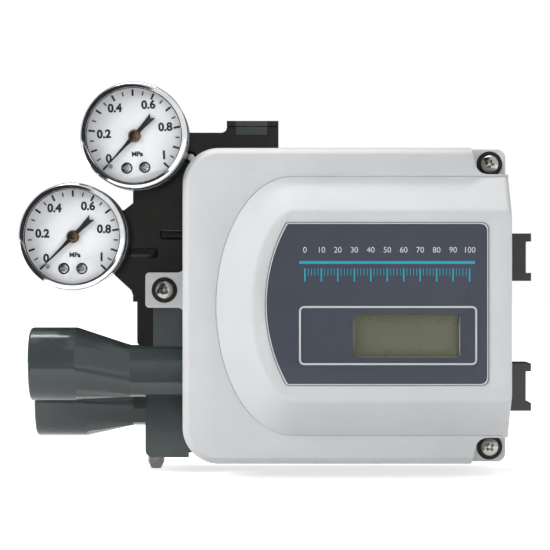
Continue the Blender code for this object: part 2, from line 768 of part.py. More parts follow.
def ring_section(x, y, z, radius, squareness=2):
    """A section across X for the conduit bosses: round at 2, nearer a square above that."""
    section = []
    for step in range(CONDUIT_FACETS):
        angle = 2 * math.pi * (step + 0.5) / CONDUIT_FACETS
        across, up = math.cos(angle), math.sin(angle)
        reach = radius / (abs(across) ** squareness + abs(up) ** squareness) ** (1 / squareness)
        section.append((x, y + reach * across, z + reach * up))
    return section


def conduit_boss(entry):
    """A round boss that tapers, off its axis, to a neck and runs on to the housing's wall."""
    end, rim = CONDUIT_END, CONDUIT_RIM_ROUND
    y, z, radius = entry["y"], entry["z"], CONDUIT_RADIUS
    sections = [
        ring_section(end, y, z, radius - rim),
        ring_section(end + 0.3 * rim, y, z, radius - 0.3 * rim),
        ring_section(end + rim, y, z, radius),
        ring_section(entry["taper"], y, z, radius),
        ring_section(CONDUIT_TAPER_END, entry["neck_y"], entry["neck_z"], entry["neck"],
                     NECK_SQUARENESS),
        ring_section(-SIDE + SINK, entry["neck_y"], entry["neck_z"], entry["neck"],
                     NECK_SQUARENESS),
    ]
    return loft(sections)


def conduit_bores(entry):
    """The threaded port and the passage that leads from it into the housing."""
    port_end = CONDUIT_END + CONDUIT_PORT_DEPTH
    port = rod("X", (entry["y"], entry["z"]), CONDUIT_END - SINK, port_end, CONDUIT_PORT_RADIUS)
    centre = ((entry["y"] + entry["neck_y"]) / 2, (entry["z"] + entry["neck_z"]) / 2)
    inside = -SIDE + HOUSING_WALL + SINK
    passage = rod("X", centre, port_end - SINK, inside, CONDUIT_PASSAGE_RADIUS)
    return port, passage


def housing_outline(inset):
    """The housing's front outline, drawn in by an inset; the left corners are the rounder ones."""
    left_round = LEFT_CORNER_RADIUS - inset
    right_round = max(RIGHT_CORNER_RADIUS - inset, LEAST_ROUND)
    radii = (left_round, right_round, right_round, left_round)
    return rounded(-SIDE + inset, SIDE - inset, -TOP + inset, TOP - inset, radii)


def screw_spots():
    """Where the three cover screws stand."""
    return {
        "cover_screw_top": (CORNER_SCREW_X, CORNER_SCREW_Z),
        "cover_screw_bottom": (CORNER_SCREW_X, -CORNER_SCREW_Z),
        "cover_screw_left": (TAB_SCREW_X, TAB_SCREW_Z),
    }


def pad_holes():
    half_x, half_z = PAD_HOLE_SPAN_X / 2, PAD_HOLE_SPAN_Z / 2
    return [(x, z) for x in (-half_x, half_x) for z in (-half_z, half_z)]


def post_spots():
    """The posts that carry the circuit board: two on the left holes' bosses, two on the right."""
    half_z = PAD_HOLE_SPAN_Z / 2
    return [(x, z) for x in (-PAD_HOLE_SPAN_X / 2, POST_RIGHT_X) for z in (-half_z, half_z)]


def ear(centre_z):
    """One ear, with a channel along its right face."""
    front = BACK - EAR_BACK_SETBACK - EAR_DEPTH
    reach = SIDE + EAR_REACH
    low, high = centre_z - EAR_HEIGHT / 2, centre_z + EAR_HEIGHT / 2
    body = box((SIDE - SINK, reach), (front, front + EAR_DEPTH), (low, high))
    half = EAR_CHANNEL_HEIGHT / 2
    channel = box(
        (reach - EAR_CHANNEL_DEPTH, reach + SINK),
        (front - SINK, front + EAR_DEPTH + SINK), (centre_z - half, centre_z + half))
    middle = (front + EAR_DEPTH / 2, centre_z)
    depth = reach - EAR_CHANNEL_DEPTH - EAR_HOLE_DEPTH
    hole = rod("X", middle, reach, depth, EAR_HOLE_RADIUS, sides=12)
    return body, channel, hole


def corner_relief():
    """The hollow in the corner box's front, round the housing's lower left corner."""
    corner = LEFT_CORNER_RADIUS
    centre_x = -SIDE + corner
    low = CORNER_BOX_BOTTOM - SINK
    outline = arc((centre_x, -TOP + corner), corner - SEAT_GAP, 180, 270, 6)
    outline += [(centre_x + SINK, -TOP + SEAT_GAP), (centre_x + SINK, low),
                (-SIDE + SEAT_GAP, low)]
    return prism("Y", outline, FRONT + CORNER_BOX_SETBACK - SINK, BACK - CORNER_BOX_REAR)


def main_housing():
    """The die-cast housing: an open-fronted shell with everything that grows out of it."""
    housing = prism("Y", housing_outline(0), FRONT, BACK)
    half_w, half_h = PAD_WIDTH / 2, PAD_HEIGHT / 2
    join(housing, box((-half_w, half_w), (BACK - SINK, 0), (-half_h, half_h)))

    corner_box = prism(
        "Y", rounded(-SIDE - CORNER_BOX_REACH, -SIDE + LEFT_CORNER_RADIUS, CORNER_BOX_BOTTOM,
                     CORNER_BOX_TOP, CORNER_BOX_ROUND), FRONT + CORNER_BOX_SETBACK, BACK)
    join(housing, cut(corner_box, corner_relief()))
    lug = prism("Y", tab_outline(-SIDE), FRONT, FRONT + LUG_DEPTH)
    web_front, web_back = FRONT + WEB_SETBACK, FRONT + LUG_DEPTH
    web = box((WEB_LEFT, -SIDE + SINK), (web_front, web_back), (WEB_BOTTOM, TAB_BOTTOM + SINK))
    plate = prism(
        "Y", rounded(FLANGE_PLATE_LEFT, -SIDE + LEFT_CORNER_RADIUS + SINK, FLANGE_PLATE_BOTTOM,
                     FLANGE_PLATE_TOP, FLANGE_PLATE_ROUND, 3),
        PLATE_FRONT, BACK)
    join(housing, lug, web, plate)
    for entry in (FRONT_CONDUIT, REAR_CONDUIT):
        join(housing, conduit_boss(entry))
    cut(housing, prism("Y", housing_outline(HOUSING_WALL), FRONT - SINK, FLOOR))

    holes = []
    for x, z in (screw_spots()["cover_screw_top"], screw_spots()["cover_screw_bottom"]):
        join(housing, rod("Y", (x, z), FLOOR + SINK, FRONT, SCREW_BOSS_RADIUS))
    for x, z in screw_spots().values():
        tip = LAND_FRONT + SCREW_SEAT_DEPTH + SCREW_LENGTH + TAP_RUN_OUT
        holes.append(rod("Y", (x, z), FRONT - SINK, tip, SCREW_RADIUS + BORE_GAP))
    for x, z in pad_holes():
        inner_end = -PAD_HOLE_DEPTH - HOUSING_WALL
        join(housing, rod("Y", (x, z), FLOOR + SINK, inner_end, PAD_BOSS_RADIUS, sides=12))
        holes.append(rod("Y", (x, z), SINK, -PAD_HOLE_DEPTH, PAD_HOLE_RADIUS, sides=12))
    for x, z in post_spots():
        join(housing, rod("Y", (x, z), FLOOR + SINK, BOARD_BACK + SEAT_GAP, POST_RADIUS, sides=12))
    for centre_z in EAR_CENTRES:
        body, channel, hole = ear(centre_z)
        join(housing, body)
        holes += [channel, hole]

    ledge_front = FRONT + TERMINAL_SETBACK + TERMINAL_DEPTH + SEAT_GAP
    ledge = box((TERMINAL_LEFT, TERMINAL_RIGHT), (ledge_front, FLOOR + SINK),
                (TERMINAL_BOTTOM, TERMINAL_TOP))
    boss = rod("Y", EARTH_INSIDE, FLOOR + SINK, FLOOR - EARTH_BOSS_HEIGHT, EARTH_BOSS_RADIUS,
               sides=12)
    half_yoke = YOKE_WIDTH / 2
    shelf = box((MOTOR_X - half_yoke, MOTOR_X + half_yoke), (YOKE_SEAT, FLOOR + SINK),
                (MOTOR_BOTTOM, MOTOR_BOTTOM + YOKE_HEIGHT))
    join(housing, ledge, boss, shelf)

    holes += conduit_bores(FRONT_CONDUIT) + conduit_bores(REAR_CONDUIT)
    bush_radius = SHAFT_RADIUS + BORE_GAP + BUSH_WALL
    holes.append(rod("Y", (SHAFT_X, SHAFT_Z), FLOOR - SINK, SINK, bush_radius + BORE_GAP))
    holes.append(rod("Y", EARTH_INSIDE, FLOOR - EARTH_BOSS_HEIGHT - SINK,
                     FLOOR + TAP_RUN_OUT, EARTH_RADIUS + BORE_GAP, sides=12))
    earth_y = FRONT + EARTH_OUTSIDE_SETBACK
    holes.append(rod("Z", (EARTH_OUTSIDE_X, earth_y), CORNER_BOX_BOTTOM - SINK,
                     CORNER_BOX_BOTTOM + EARTH_LENGTH + TAP_RUN_OUT, EARTH_RADIUS + BORE_GAP,
                     sides=12))
    holes.append(rod("X", (motor_middle(), nozzle_height()), -SIDE - SINK,
                     -SIDE + HOUSING_WALL + SINK, NOZZLE_RADIUS, sides=12))
    for x, z in BLOCK_SCREWS:
        holes.append(rod("Y", (x, z), PLATE_FRONT - SINK, PLATE_FRONT + BLOCK_SCREW_BITE + TAP_RUN_OUT,
                         BLOCK_SCREW_RADIUS + BORE_GAP, sides=12))
    cut(housing, *holes)
    return piece(housing, "main_housing", "slate")


def motor_middle():
    """The Y of the torque motor's middle plane."""
    return MOTOR_BACK - MOTOR_DEPTH / 2


def block_outline():
    """The block's front outline: an L round the housing's upper left corner."""
    inner = SIDE + SEAT_GAP
    inner_top = TOP + SEAT_GAP
    corner = LEFT_CORNER_RADIUS + SEAT_GAP
    centre = (-inner + corner, inner_top - corner)
    relay_foot = (RELAY_LEFT - RELAY_FILLET, BLOCK_TOP + RELAY_FILLET)
    outline = [(-inner, BLOCK_BOTTOM)]
    outline += arc(centre, corner, 180, 90, 6)
    outline += [(RELAY_RIGHT, inner_top), (RELAY_RIGHT, RELAY_LID), (RELAY_LEFT, RELAY_LID)]
    outline += arc(relay_foot, RELAY_FILLET, 0, -90, 4)
    outline += arc((BLOCK_LEFT + BLOCK_ROUND, BLOCK_TOP - BLOCK_ROUND), BLOCK_ROUND, 90, 180, 3)
    outline += [(BLOCK_LEFT, BLOCK_FOOT_TOP), (BLOCK_FOOT_LEFT, BLOCK_FOOT_TOP)]
    outline += arc((BLOCK_FOOT_LEFT + BLOCK_ROUND, BLOCK_BOTTOM + BLOCK_ROUND), BLOCK_ROUND,
                   180, 270, 3)
    return outline


def arm_outline():
    """The arm out to the supply gauge, with its chamfer above and its fillet below."""
    centre_x, centre_z = GAUGE_CENTRES["supply_gauge"]
    outline = [(BLOCK_LEFT + SINK, ARM_TOP), (BLOCK_LEFT, ARM_TOP)]
    outline += [(BLOCK_LEFT - ARM_TOP_RUN, ARM_TOP_OUTER), (centre_x, ARM_TOP_OUTER)]
    outline += arc((centre_x, centre_z), ARM_END_RADIUS, 100, 255, 8)
    outline += [(BLOCK_LEFT - ARM_SLOPE_REACH, ARM_BOTTOM),
                (BLOCK_LEFT - ARM_SLOPE_END, ARM_BOTTOM - ARM_SLOPE_DROP),
                (BLOCK_LEFT, ARM_BOTTOM - ARM_FOOT_DROP),
                (BLOCK_LEFT + SINK, ARM_BOTTOM - ARM_FOOT_DROP)]
    return outline


def gallery_rib(rib):
    """A half-round rib on the block's front, over a gallery."""
    centre = (BLOCK_FRONT + RIB_RADIUS - RIB_PROUD,
              GAUGE_CENTRES["supply_gauge"][1] - rib["below_gauge"])
    start, end = -SIDE - rib["start"], -SIDE - rib["end"]
    small = RIB_RADIUS - RIB_END_ROUND
    return turned("X", centre, [
        (0, start), (small, start), (RIB_RADIUS, start + RIB_END_ROUND),
        (RIB_RADIUS, end - RIB_END_ROUND), (small, end), (0, end)], 16)


def pneumatic_block():
    """The cast block that carries the gauges, the air ports and the pilot relay."""
    block = prism("Y", block_outline(), BLOCK_FRONT, BLOCK_BACK)
    join(block, prism("Y", arm_outline(), BLOCK_FRONT, BLOCK_MIDDLE))
    top_gauge = GAUGE_CENTRES["output_gauge"]
    join(block, rod("Y", top_gauge, BLOCK_FRONT, BLOCK_FRONT + GAUGE_BOSS_DEPTH, ARM_END_RADIUS))
    join(block, gallery_rib(ARM_RIB), gallery_rib(INNER_RIB))
    pad_left = RELAY_LEFT + RELAY_PAD_INSET
    join(block, box((pad_left, pad_left + RELAY_PAD_WIDTH),
                    (BLOCK_FRONT - RELAY_PAD_RISE, BLOCK_FRONT + SINK),
                    (BLOCK_TOP - RELAY_PAD_DROP, RELAY_LID)))

    holes = []
    for centre in GAUGE_CENTRES.values():
        stem = GAUGE_STEM_RADIUS + BORE_GAP
        holes.append(rod("Y", centre, BLOCK_FRONT - SINK, BLOCK_FRONT + GAUGE_STEM_DEPTH, stem))
    port_y = BLOCK_MIDDLE
    holes.append(rod("X", (port_y, SUPPLY_PORT_Z), BLOCK_FOOT_LEFT - SINK,
                     BLOCK_FOOT_LEFT + PORT_DEPTH, PORT_RADIUS))
    holes.append(rod("X", (port_y, SUPPLY_PORT_Z), BLOCK_FOOT_LEFT - SINK,
                     BLOCK_FOOT_LEFT + PORT_FACE_DEPTH, PORT_FACE_RADIUS))
    output_y = BLOCK_BACK - OUTPUT_PORT_INSET
    holes.append(rod("Z", (OUTPUT_PORT_X, output_y), BLOCK_TOP + SINK, BLOCK_TOP - PORT_DEPTH,
                     PORT_RADIUS))
    holes.append(rod("Y", (GAUGE_GALLERY_X, GAUGE_GALLERY_Z),
                     BLOCK_FRONT + GAUGE_STEM_DEPTH - GALLERY_RADIUS, output_y, GALLERY_RADIUS,
                     sides=12))
    holes.append(rod("Z", (RELAY_X, port_y), RELAY_LID + SINK, PILOT_CHAMBER_FLOOR,
                     PILOT_CHAMBER_RADIUS))
    holes.append(rod("X", ((port_y + output_y) / 2, PILOT_CHAMBER_FLOOR + 2 * GALLERY_RADIUS),
                     RELAY_X, OUTPUT_PORT_X, GALLERY_RADIUS, sides=12))
    holes.append(rod("X", (motor_middle(), nozzle_height()), -SIDE, GALLERY_X, GALLERY_RADIUS,
                     sides=12))
    holes.append(rod("Z", (GALLERY_X, port_y), SUPPLY_PORT_Z, MANUAL_SCREW_Z, GALLERY_RADIUS,
                     sides=12))
    gauge_x, gauge_z = GAUGE_CENTRES["supply_gauge"]
    gallery_y = BLOCK_FRONT + GAUGE_STEM_DEPTH - GALLERY_RADIUS
    holes.append(rod("X", (gallery_y, gauge_z), gauge_x, GALLERY_X + SINK, GALLERY_RADIUS,
                     sides=12))
    for x, z in BLOCK_SCREWS:
        holes.append(rod("Y", (x, z), BLOCK_FRONT - SINK, BLOCK_BACK + SINK,
                         BLOCK_SCREW_RADIUS + BORE_GAP, sides=12))
        holes.append(rod("Y", (x, z), BLOCK_FRONT - SINK, BLOCK_FRONT + BLOCK_SCREW_HEAD_HEIGHT,
                         BLOCK_SCREW_HEAD_RADIUS + SEAT_GAP, sides=12))
    for y in pilot_screw_places():
        bite = RELAY_LID - PILOT_SCREW_LENGTH
        holes.append(rod("Z", (RELAY_X, y), RELAY_LID + SINK, bite,
                         PILOT_SCREW_RADIUS + BORE_GAP, sides=12))
    silencer = (SILENCER_X, BLOCK_BACK - SILENCER_INSET)
    holes.append(rod("Z", silencer, BLOCK_BOTTOM - SINK, BLOCK_BOTTOM + SILENCER_SPIGOT + SEAT_GAP,
                     SILENCER_SPIGOT_RADIUS + BORE_GAP, sides=12))
    holes.append(rod("X", (port_y, MANUAL_SCREW_Z), BLOCK_LEFT - SINK,
                     BLOCK_LEFT + MANUAL_SCREW_DEPTH, MANUAL_SCREW_RADIUS + BORE_GAP, sides=16))
    restrictor = (port_y + RESTRICTOR_SETBACK, BLOCK_FOOT_TOP + RESTRICTOR_RISE)
    holes.append(rod("X", restrictor, BLOCK_LEFT - SINK,
                     BLOCK_LEFT + RESTRICTOR_DEPTH + SEAT_GAP, RESTRICTOR_RADIUS + BORE_GAP,
                     sides=16))
    cut(block, *holes)
    return piece(block, "pneumatic_block", "black")


def pilot_screw_places():
    """The Y of the two screws in the pilot cover."""
    return (BLOCK_FRONT + PILOT_SCREW_INSET, BLOCK_BACK - PILOT_SCREW_INSET)


def block_gasket():
    """The sheet between the block's back and the housing's flange plate."""
    start = BLOCK_BACK + SEAT_GAP
    outline = rounded(FLANGE_PLATE_LEFT, -SIDE - SEAT_GAP, FLANGE_PLATE_BOTTOM,
                      TOP - LEFT_CORNER_RADIUS, SHEET_GASKET_ROUND, 3)
    sheet = prism("Y", outline, start, start + SHEET_GASKET)
    for x, z in BLOCK_SCREWS:
        cut(sheet, rod("Y", (x, z), start - SINK, start + SHEET_GASKET + SINK,
                       BLOCK_SCREW_RADIUS + BORE_GAP, sides=12))
    return piece(sheet, "block_gasket", "rubber")


def machine_screw(axis, centre, seat, head_radius, head_height, radius, length, out=-1, steps=10):
    """A pan-headed screw: its head stands out of the seat and its shank runs in."""
    profile = [
        (0, seat + out * head_height), (head_radius * PAN_HEAD_FLAT, seat + out * head_height),
        (head_radius, seat + out * head_height * PAN_HEAD_EDGE), (head_radius, seat),
        (radius, seat), (radius, seat - out * length), (0, seat - out * length),
    ]
    return turned(axis, centre, profile, steps)


def block_screws():
    for number, (x, z) in enumerate(BLOCK_SCREWS, 1):
        seat = BLOCK_FRONT + BLOCK_SCREW_HEAD_HEIGHT - SEAT_GAP
        length = PLATE_FRONT + BLOCK_SCREW_BITE - seat
        screw = machine_screw("Y", (x, z), seat, BLOCK_SCREW_HEAD_RADIUS,
                              BLOCK_SCREW_HEAD_HEIGHT, BLOCK_SCREW_RADIUS, length)
        piece(screw, f"block_screw_{number}", "steel")


def pilot_cover():
    """The flat lid over the pilot relay, and its two screws sunk in counterbores."""
    low = RELAY_LID + SEAT_GAP
    lid = box((RELAY_LEFT, RELAY_RIGHT), (BLOCK_FRONT, BLOCK_BACK), (low, RELAY_TOP))
    for number, y in enumerate(pilot_screw_places(), 1):
        seat = RELAY_TOP - PILOT_SCREW_HEAD_HEIGHT - SEAT_GAP
        centre = (RELAY_X, y)
        cut(lid, rod("Z", centre, low - SINK, RELAY_TOP + SINK, PILOT_SCREW_RADIUS + BORE_GAP,
                     sides=12),
            rod("Z", centre, seat, RELAY_TOP + SINK, PILOT_SCREW_HEAD_RADIUS + SEAT_GAP, sides=12))
        screw = machine_screw("Z", centre, seat + SEAT_GAP, PILOT_SCREW_HEAD_RADIUS,
                              PILOT_SCREW_HEAD_HEIGHT, PILOT_SCREW_RADIUS, PILOT_SCREW_LENGTH, 1)
        piece(screw, f"pilot_cover_screw_{number}", "steel")
    return piece(lid, "pilot_cover", "black")


def block_fittings():
    """The silencer, the restrictor plug and the screw between automatic and manual."""
    spot = (SILENCER_X, BLOCK_BACK - SILENCER_INSET)
    mouth = BLOCK_BOTTOM - SEAT_GAP
    silencer = turned("Z", spot, [
        (0, mouth + SILENCER_SPIGOT), (SILENCER_SPIGOT_RADIUS, mouth + SILENCER_SPIGOT),
        (SILENCER_SPIGOT_RADIUS, mouth), (SILENCER_RADIUS, mouth),
        (SILENCER_RADIUS, mouth - SILENCER_STRAIGHT),
        (SILENCER_TIP_RADIUS, mouth - SILENCER_LENGTH), (0, mouth - SILENCER_LENGTH)], 16)
    piece(silencer, "exhaust_silencer", "bronze")
    restrictor = (BLOCK_MIDDLE + RESTRICTOR_SETBACK, BLOCK_FOOT_TOP + RESTRICTOR_RISE)
    plug = slotted_screw(restrictor, RESTRICTOR_RADIUS, RESTRICTOR_DEPTH,
                         RESTRICTOR_SLOT_WIDTH, RESTRICTOR_SLOT_DEPTH)
    piece(plug, "restrictor_plug", "brass")
    screw = slotted_screw((BLOCK_MIDDLE, MANUAL_SCREW_Z), MANUAL_SCREW_RADIUS,
                          MANUAL_SCREW_DEPTH - SEAT_GAP, MANUAL_SLOT_WIDTH, MANUAL_SLOT_DEPTH)
    piece(screw, "manual_screw", "steel")
    hang(joint_axis("manual_screw_axis", (BLOCK_LEFT, BLOCK_MIDDLE, MANUAL_SCREW_Z)), screw)


def slotted_screw(centre, radius, length, slot_width, slot_depth):
    """A headless screw flush with the block's left face, with a slot across its end."""
    y, z = centre
    screw = rod("X", centre, BLOCK_LEFT, BLOCK_LEFT + length, radius, 16)
    reach = radius + SINK
    slot = box((BLOCK_LEFT - SINK, BLOCK_LEFT + slot_depth), (y - reach, y + reach),
               (z - slot_width / 2, z + slot_width / 2))
    return cut(screw, slot)


def bend(start, corner, end, steps=3):
    """Points on a soft corner from start to end that would otherwise turn at the corner."""
    points = []
    for step in range(steps + 1):
        t = step / steps
        weights = ((1 - t) ** 2, 2 * t * (1 - t), t * t)
        trio = (start, corner, end)
        points.append(tuple(sum(w * p[i] for w, p in zip(weights, trio)) for i in (0, 1)))
    return points


def flange():
    """The flange, with its front edge rounded all the way round."""
    soft = FLANGE_EDGE_ROUND
    path = [(0, COVER_BACK)] + bend((0, FLANGE_FRONT + soft), (0, FLANGE_FRONT), (soft, FLANGE_FRONT))
    return loft([[(x, y, z) for x, z in cover_outline(inset)] for inset, y in path])


def tab_outline(edge):
    """The screw tab beside an edge on the left, with a fillet above and below its root."""
    left = -COVER_SIDE - TAB_REACH
    low, high, soft = TAB_BOTTOM, TAB_TOP, TAB_FILLET
    outline = [(edge + SINK, low - soft), (edge, low - soft)]
    outline += arc((edge - soft, low - soft), soft, 0, 90, 3)
    outline += arc((left + TAB_ROUND, low + TAB_ROUND), TAB_ROUND, 270, 180, 3)
    outline += arc((left + TAB_ROUND, high - TAB_ROUND), TAB_ROUND, 180, 90, 3)
    outline += arc((edge - soft, high + soft), soft, 270, 360, 3)
    outline += [(edge + SINK, high + soft)]
    return outline


def cover_outline(inset):
    """The flange's outline, drawn in by an inset."""
    left_round = max(LEFT_CORNER_RADIUS + COVER_OVERHANG - inset, LEAST_ROUND)
    right_round = max(RIGHT_CORNER_RADIUS - inset, LEAST_ROUND)
    radii = (left_round, right_round, right_round, left_round)
    return rounded(-COVER_SIDE + inset, COVER_SIDE - inset, -COVER_TOP + inset,
                   COVER_TOP - inset, radii, 6)


def dome_section(fraction, y, inset=0.0):
    """The dome's outline at a fraction of the way from its base to its crown."""
    half = DOME_BASE_HALF_HEIGHT + fraction * (DOME_CROWN_HALF_HEIGHT - DOME_BASE_HALF_HEIGHT)
    radius = DOME_BASE_LEFT_RADIUS + fraction * (DOME_CROWN_LEFT_RADIUS - DOME_BASE_LEFT_RADIUS)
    centre = DOME_BASE_LEFT_CENTRE + fraction * (DOME_CROWN_LEFT_CENTRE - DOME_BASE_LEFT_CENTRE)
    right = COVER_SIDE - DOME_RIGHT_INSET - inset
    half -= inset
    chamfer = DOME_CORNER_CHAMFER
    outline = arc((centre, 0), (radius - inset, half), 90, 270, 22)
    outline += [(right - chamfer, -half), (right, -half + chamfer)]
    outline += [(right, half - chamfer), (right - chamfer, half)]
    return [(x, y, z) for x, z in outline]


def dome():
    """The dome: two unlike outlines lofted together, with a soft foot and a soft crown edge."""
    foot = DOME_FOOT_ROUND / DOME_HEIGHT
    edge = DOME_CROWN_ROUND / DOME_HEIGHT
    path = [(-foot, -SINK / DOME_HEIGHT)]
    path += bend((-foot, 0), (0, 0), (foot, foot))
    path += bend((1 - edge, 1 - edge), (1, 1), (1 + edge, 1))
    return loft([dome_section(f, FLANGE_FRONT - d * DOME_HEIGHT) for f, d in path])


def dome_hollow():
    """The space inside the dome, which runs back into the flange."""
    inner = CROWN_WALL / DOME_HEIGHT
    path = [(0, -(COVER_WALL + SINK) / DOME_HEIGHT), (0, 0), (1 - inner, 1 - inner)]
    return loft([dome_section(f, FLANGE_FRONT - d * DOME_HEIGHT, COVER_WALL) for f, d in path])


def corner_pocket(side, wall=0.0):
    """The open corner in front of a right-hand screw; side is 1 above and -1 below."""
    low = DOME_BASE_HALF_HEIGHT + DOME_FOOT_ROUND - wall
    far = COVER_SIDE + POCKET_RUN_OUT
    beyond = COVER_TOP + POCKET_RUN_OUT
    at_dome = COVER_SIDE - POCKET_WIDTH_AT_DOME - wall
    at_edge = COVER_SIDE - POCKET_WIDTH_AT_EDGE - wall
    return [(at_dome, side * low), (far, side * low), (far, side * beyond), (at_edge, side * beyond)]


def panel_outline(grow=0.0):
    """The name panel's outline: its left edge is a shallow arc."""
    left, right = PANEL_LEFT - grow, PANEL_RIGHT + grow
    low, high = PANEL_BOTTOM - grow, PANEL_TOP + grow
    half = (high - low) / 2
    middle = (high + low) / 2
    radius = (half ** 2 + PANEL_BOW ** 2) / (2 * PANEL_BOW)
    span = math.degrees(math.asin(half / radius))
    soft = PANEL_CORNER
    trim = math.degrees(soft / radius)
    corner_x = left + PANEL_BOW
    side = arc((left + radius, middle), radius, 180 - span + trim, 180 + span - trim, 12)
    outline = bend((corner_x + soft, high), (corner_x, high), side[0])[:-1]
    outline += side
    outline += bend(side[-1], (corner_x, low), (corner_x + soft, low))[1:]
    outline += arc((right - soft, low + soft), soft, 270, 360, 4)
    outline += arc((right - soft, high - soft), soft, 0, 90, 4)
    return outline


def window(grow=0.0):
    """The limits of the window in X and Z."""
    across = (WINDOW_LEFT - grow, WINDOW_RIGHT + grow)
    up = (WINDOW_BOTTOM - grow, WINDOW_TOP + grow)
    return across, up


def front_cover():
    """The die-cast cover: a deep flange, a lofted dome, a screw tab and two corner lands."""
    cover = flange()
    join(cover, prism("Y", tab_outline(-COVER_SIDE), LAND_FRONT, COVER_BACK))
    for side in (1, -1):
        cut(cover, prism("Y", corner_pocket(side), FLANGE_FRONT - SINK, LAND_FRONT))
    join(cover, dome())

    hollow = prism("Y", cover_outline(COVER_SKIRT), FLANGE_FRONT + COVER_WALL, COVER_BACK + SINK)
    for side in (1, -1):
        keep = prism("Y", corner_pocket(side, COVER_WALL), FLANGE_FRONT, COVER_BACK + 2 * SINK)
        cut(hollow, keep)
    cut(cover, hollow, dome_hollow())

    across, up = window()
    seat_across, seat_up = window(LENS_MARGIN + SEAT_GAP)
    recess = CROWN + PANEL_RECESS
    lens_floor = recess + LENS_THICKNESS + SEAT_GAP
    cut(cover, prism("Y", panel_outline(SEAT_GAP), CROWN - SINK, recess),
        box(seat_across, (CROWN - SINK, lens_floor), seat_up),
        box(across, (CROWN - SINK, CROWN + CROWN_WALL + SINK), up))

    groove = prism(
        "Y", housing_outline(GASKET_INSET - BORE_GAP),
        COVER_BACK - GASKET_DEPTH - SEAT_GAP, COVER_BACK + SINK,
        holes=(housing_outline(GASKET_INSET + GASKET_WIDTH + BORE_GAP),))
    cut(cover, groove)
    for x, z in screw_spots().values():
        seat = LAND_FRONT + SCREW_SEAT_DEPTH
        cut(cover, rod("Y", (x, z), LAND_FRONT - SINK, COVER_BACK + SINK, SCREW_RADIUS + BORE_GAP),
            rod("Y", (x, z), LAND_FRONT - SINK, seat, SCREW_SEAT_RADIUS))
    return piece(cover, "front_cover", "grey")


def cover_parts():
    """The pieces that lift off with the cover."""
    gasket = prism("Y", housing_outline(GASKET_INSET), COVER_BACK - GASKET_DEPTH, COVER_BACK,
                   holes=(housing_outline(GASKET_INSET + GASKET_WIDTH),))
    piece(gasket, "cover_gasket", "rubber")
    panel_back = CROWN + PANEL_RECESS - SEAT_GAP
    across, up = window()
    corners = [(x, z) for x, z in zip(across + across[::-1], (up[0], up[0], up[1], up[1]))]
    panel = prism("Y", panel_outline(), panel_back - PANEL_THICKNESS, panel_back, holes=(corners,))
    piece(panel, "name_panel", "panel")
    across, up = window(LENS_MARGIN)
    lens_front = CROWN + PANEL_RECESS
    lens = box(across, (lens_front, lens_front + LENS_THICKNESS), up)
    piece(lens, "window_lens", "clear")
    screws = []
    for name, centre in screw_spots().items():
        seat = LAND_FRONT + SCREW_SEAT_DEPTH - SEAT_GAP
        screw = machine_screw("Y", centre, seat, SCREW_HEAD_RADIUS, SCREW_HEAD_HEIGHT,
                              SCREW_RADIUS, SCREW_LENGTH)
        screws.append(piece(screw, name, "steel"))
    hang(joint_axis("cover_axis", (0, COVER_BACK, 0)), front_cover(), gasket, panel, lens, *screws)


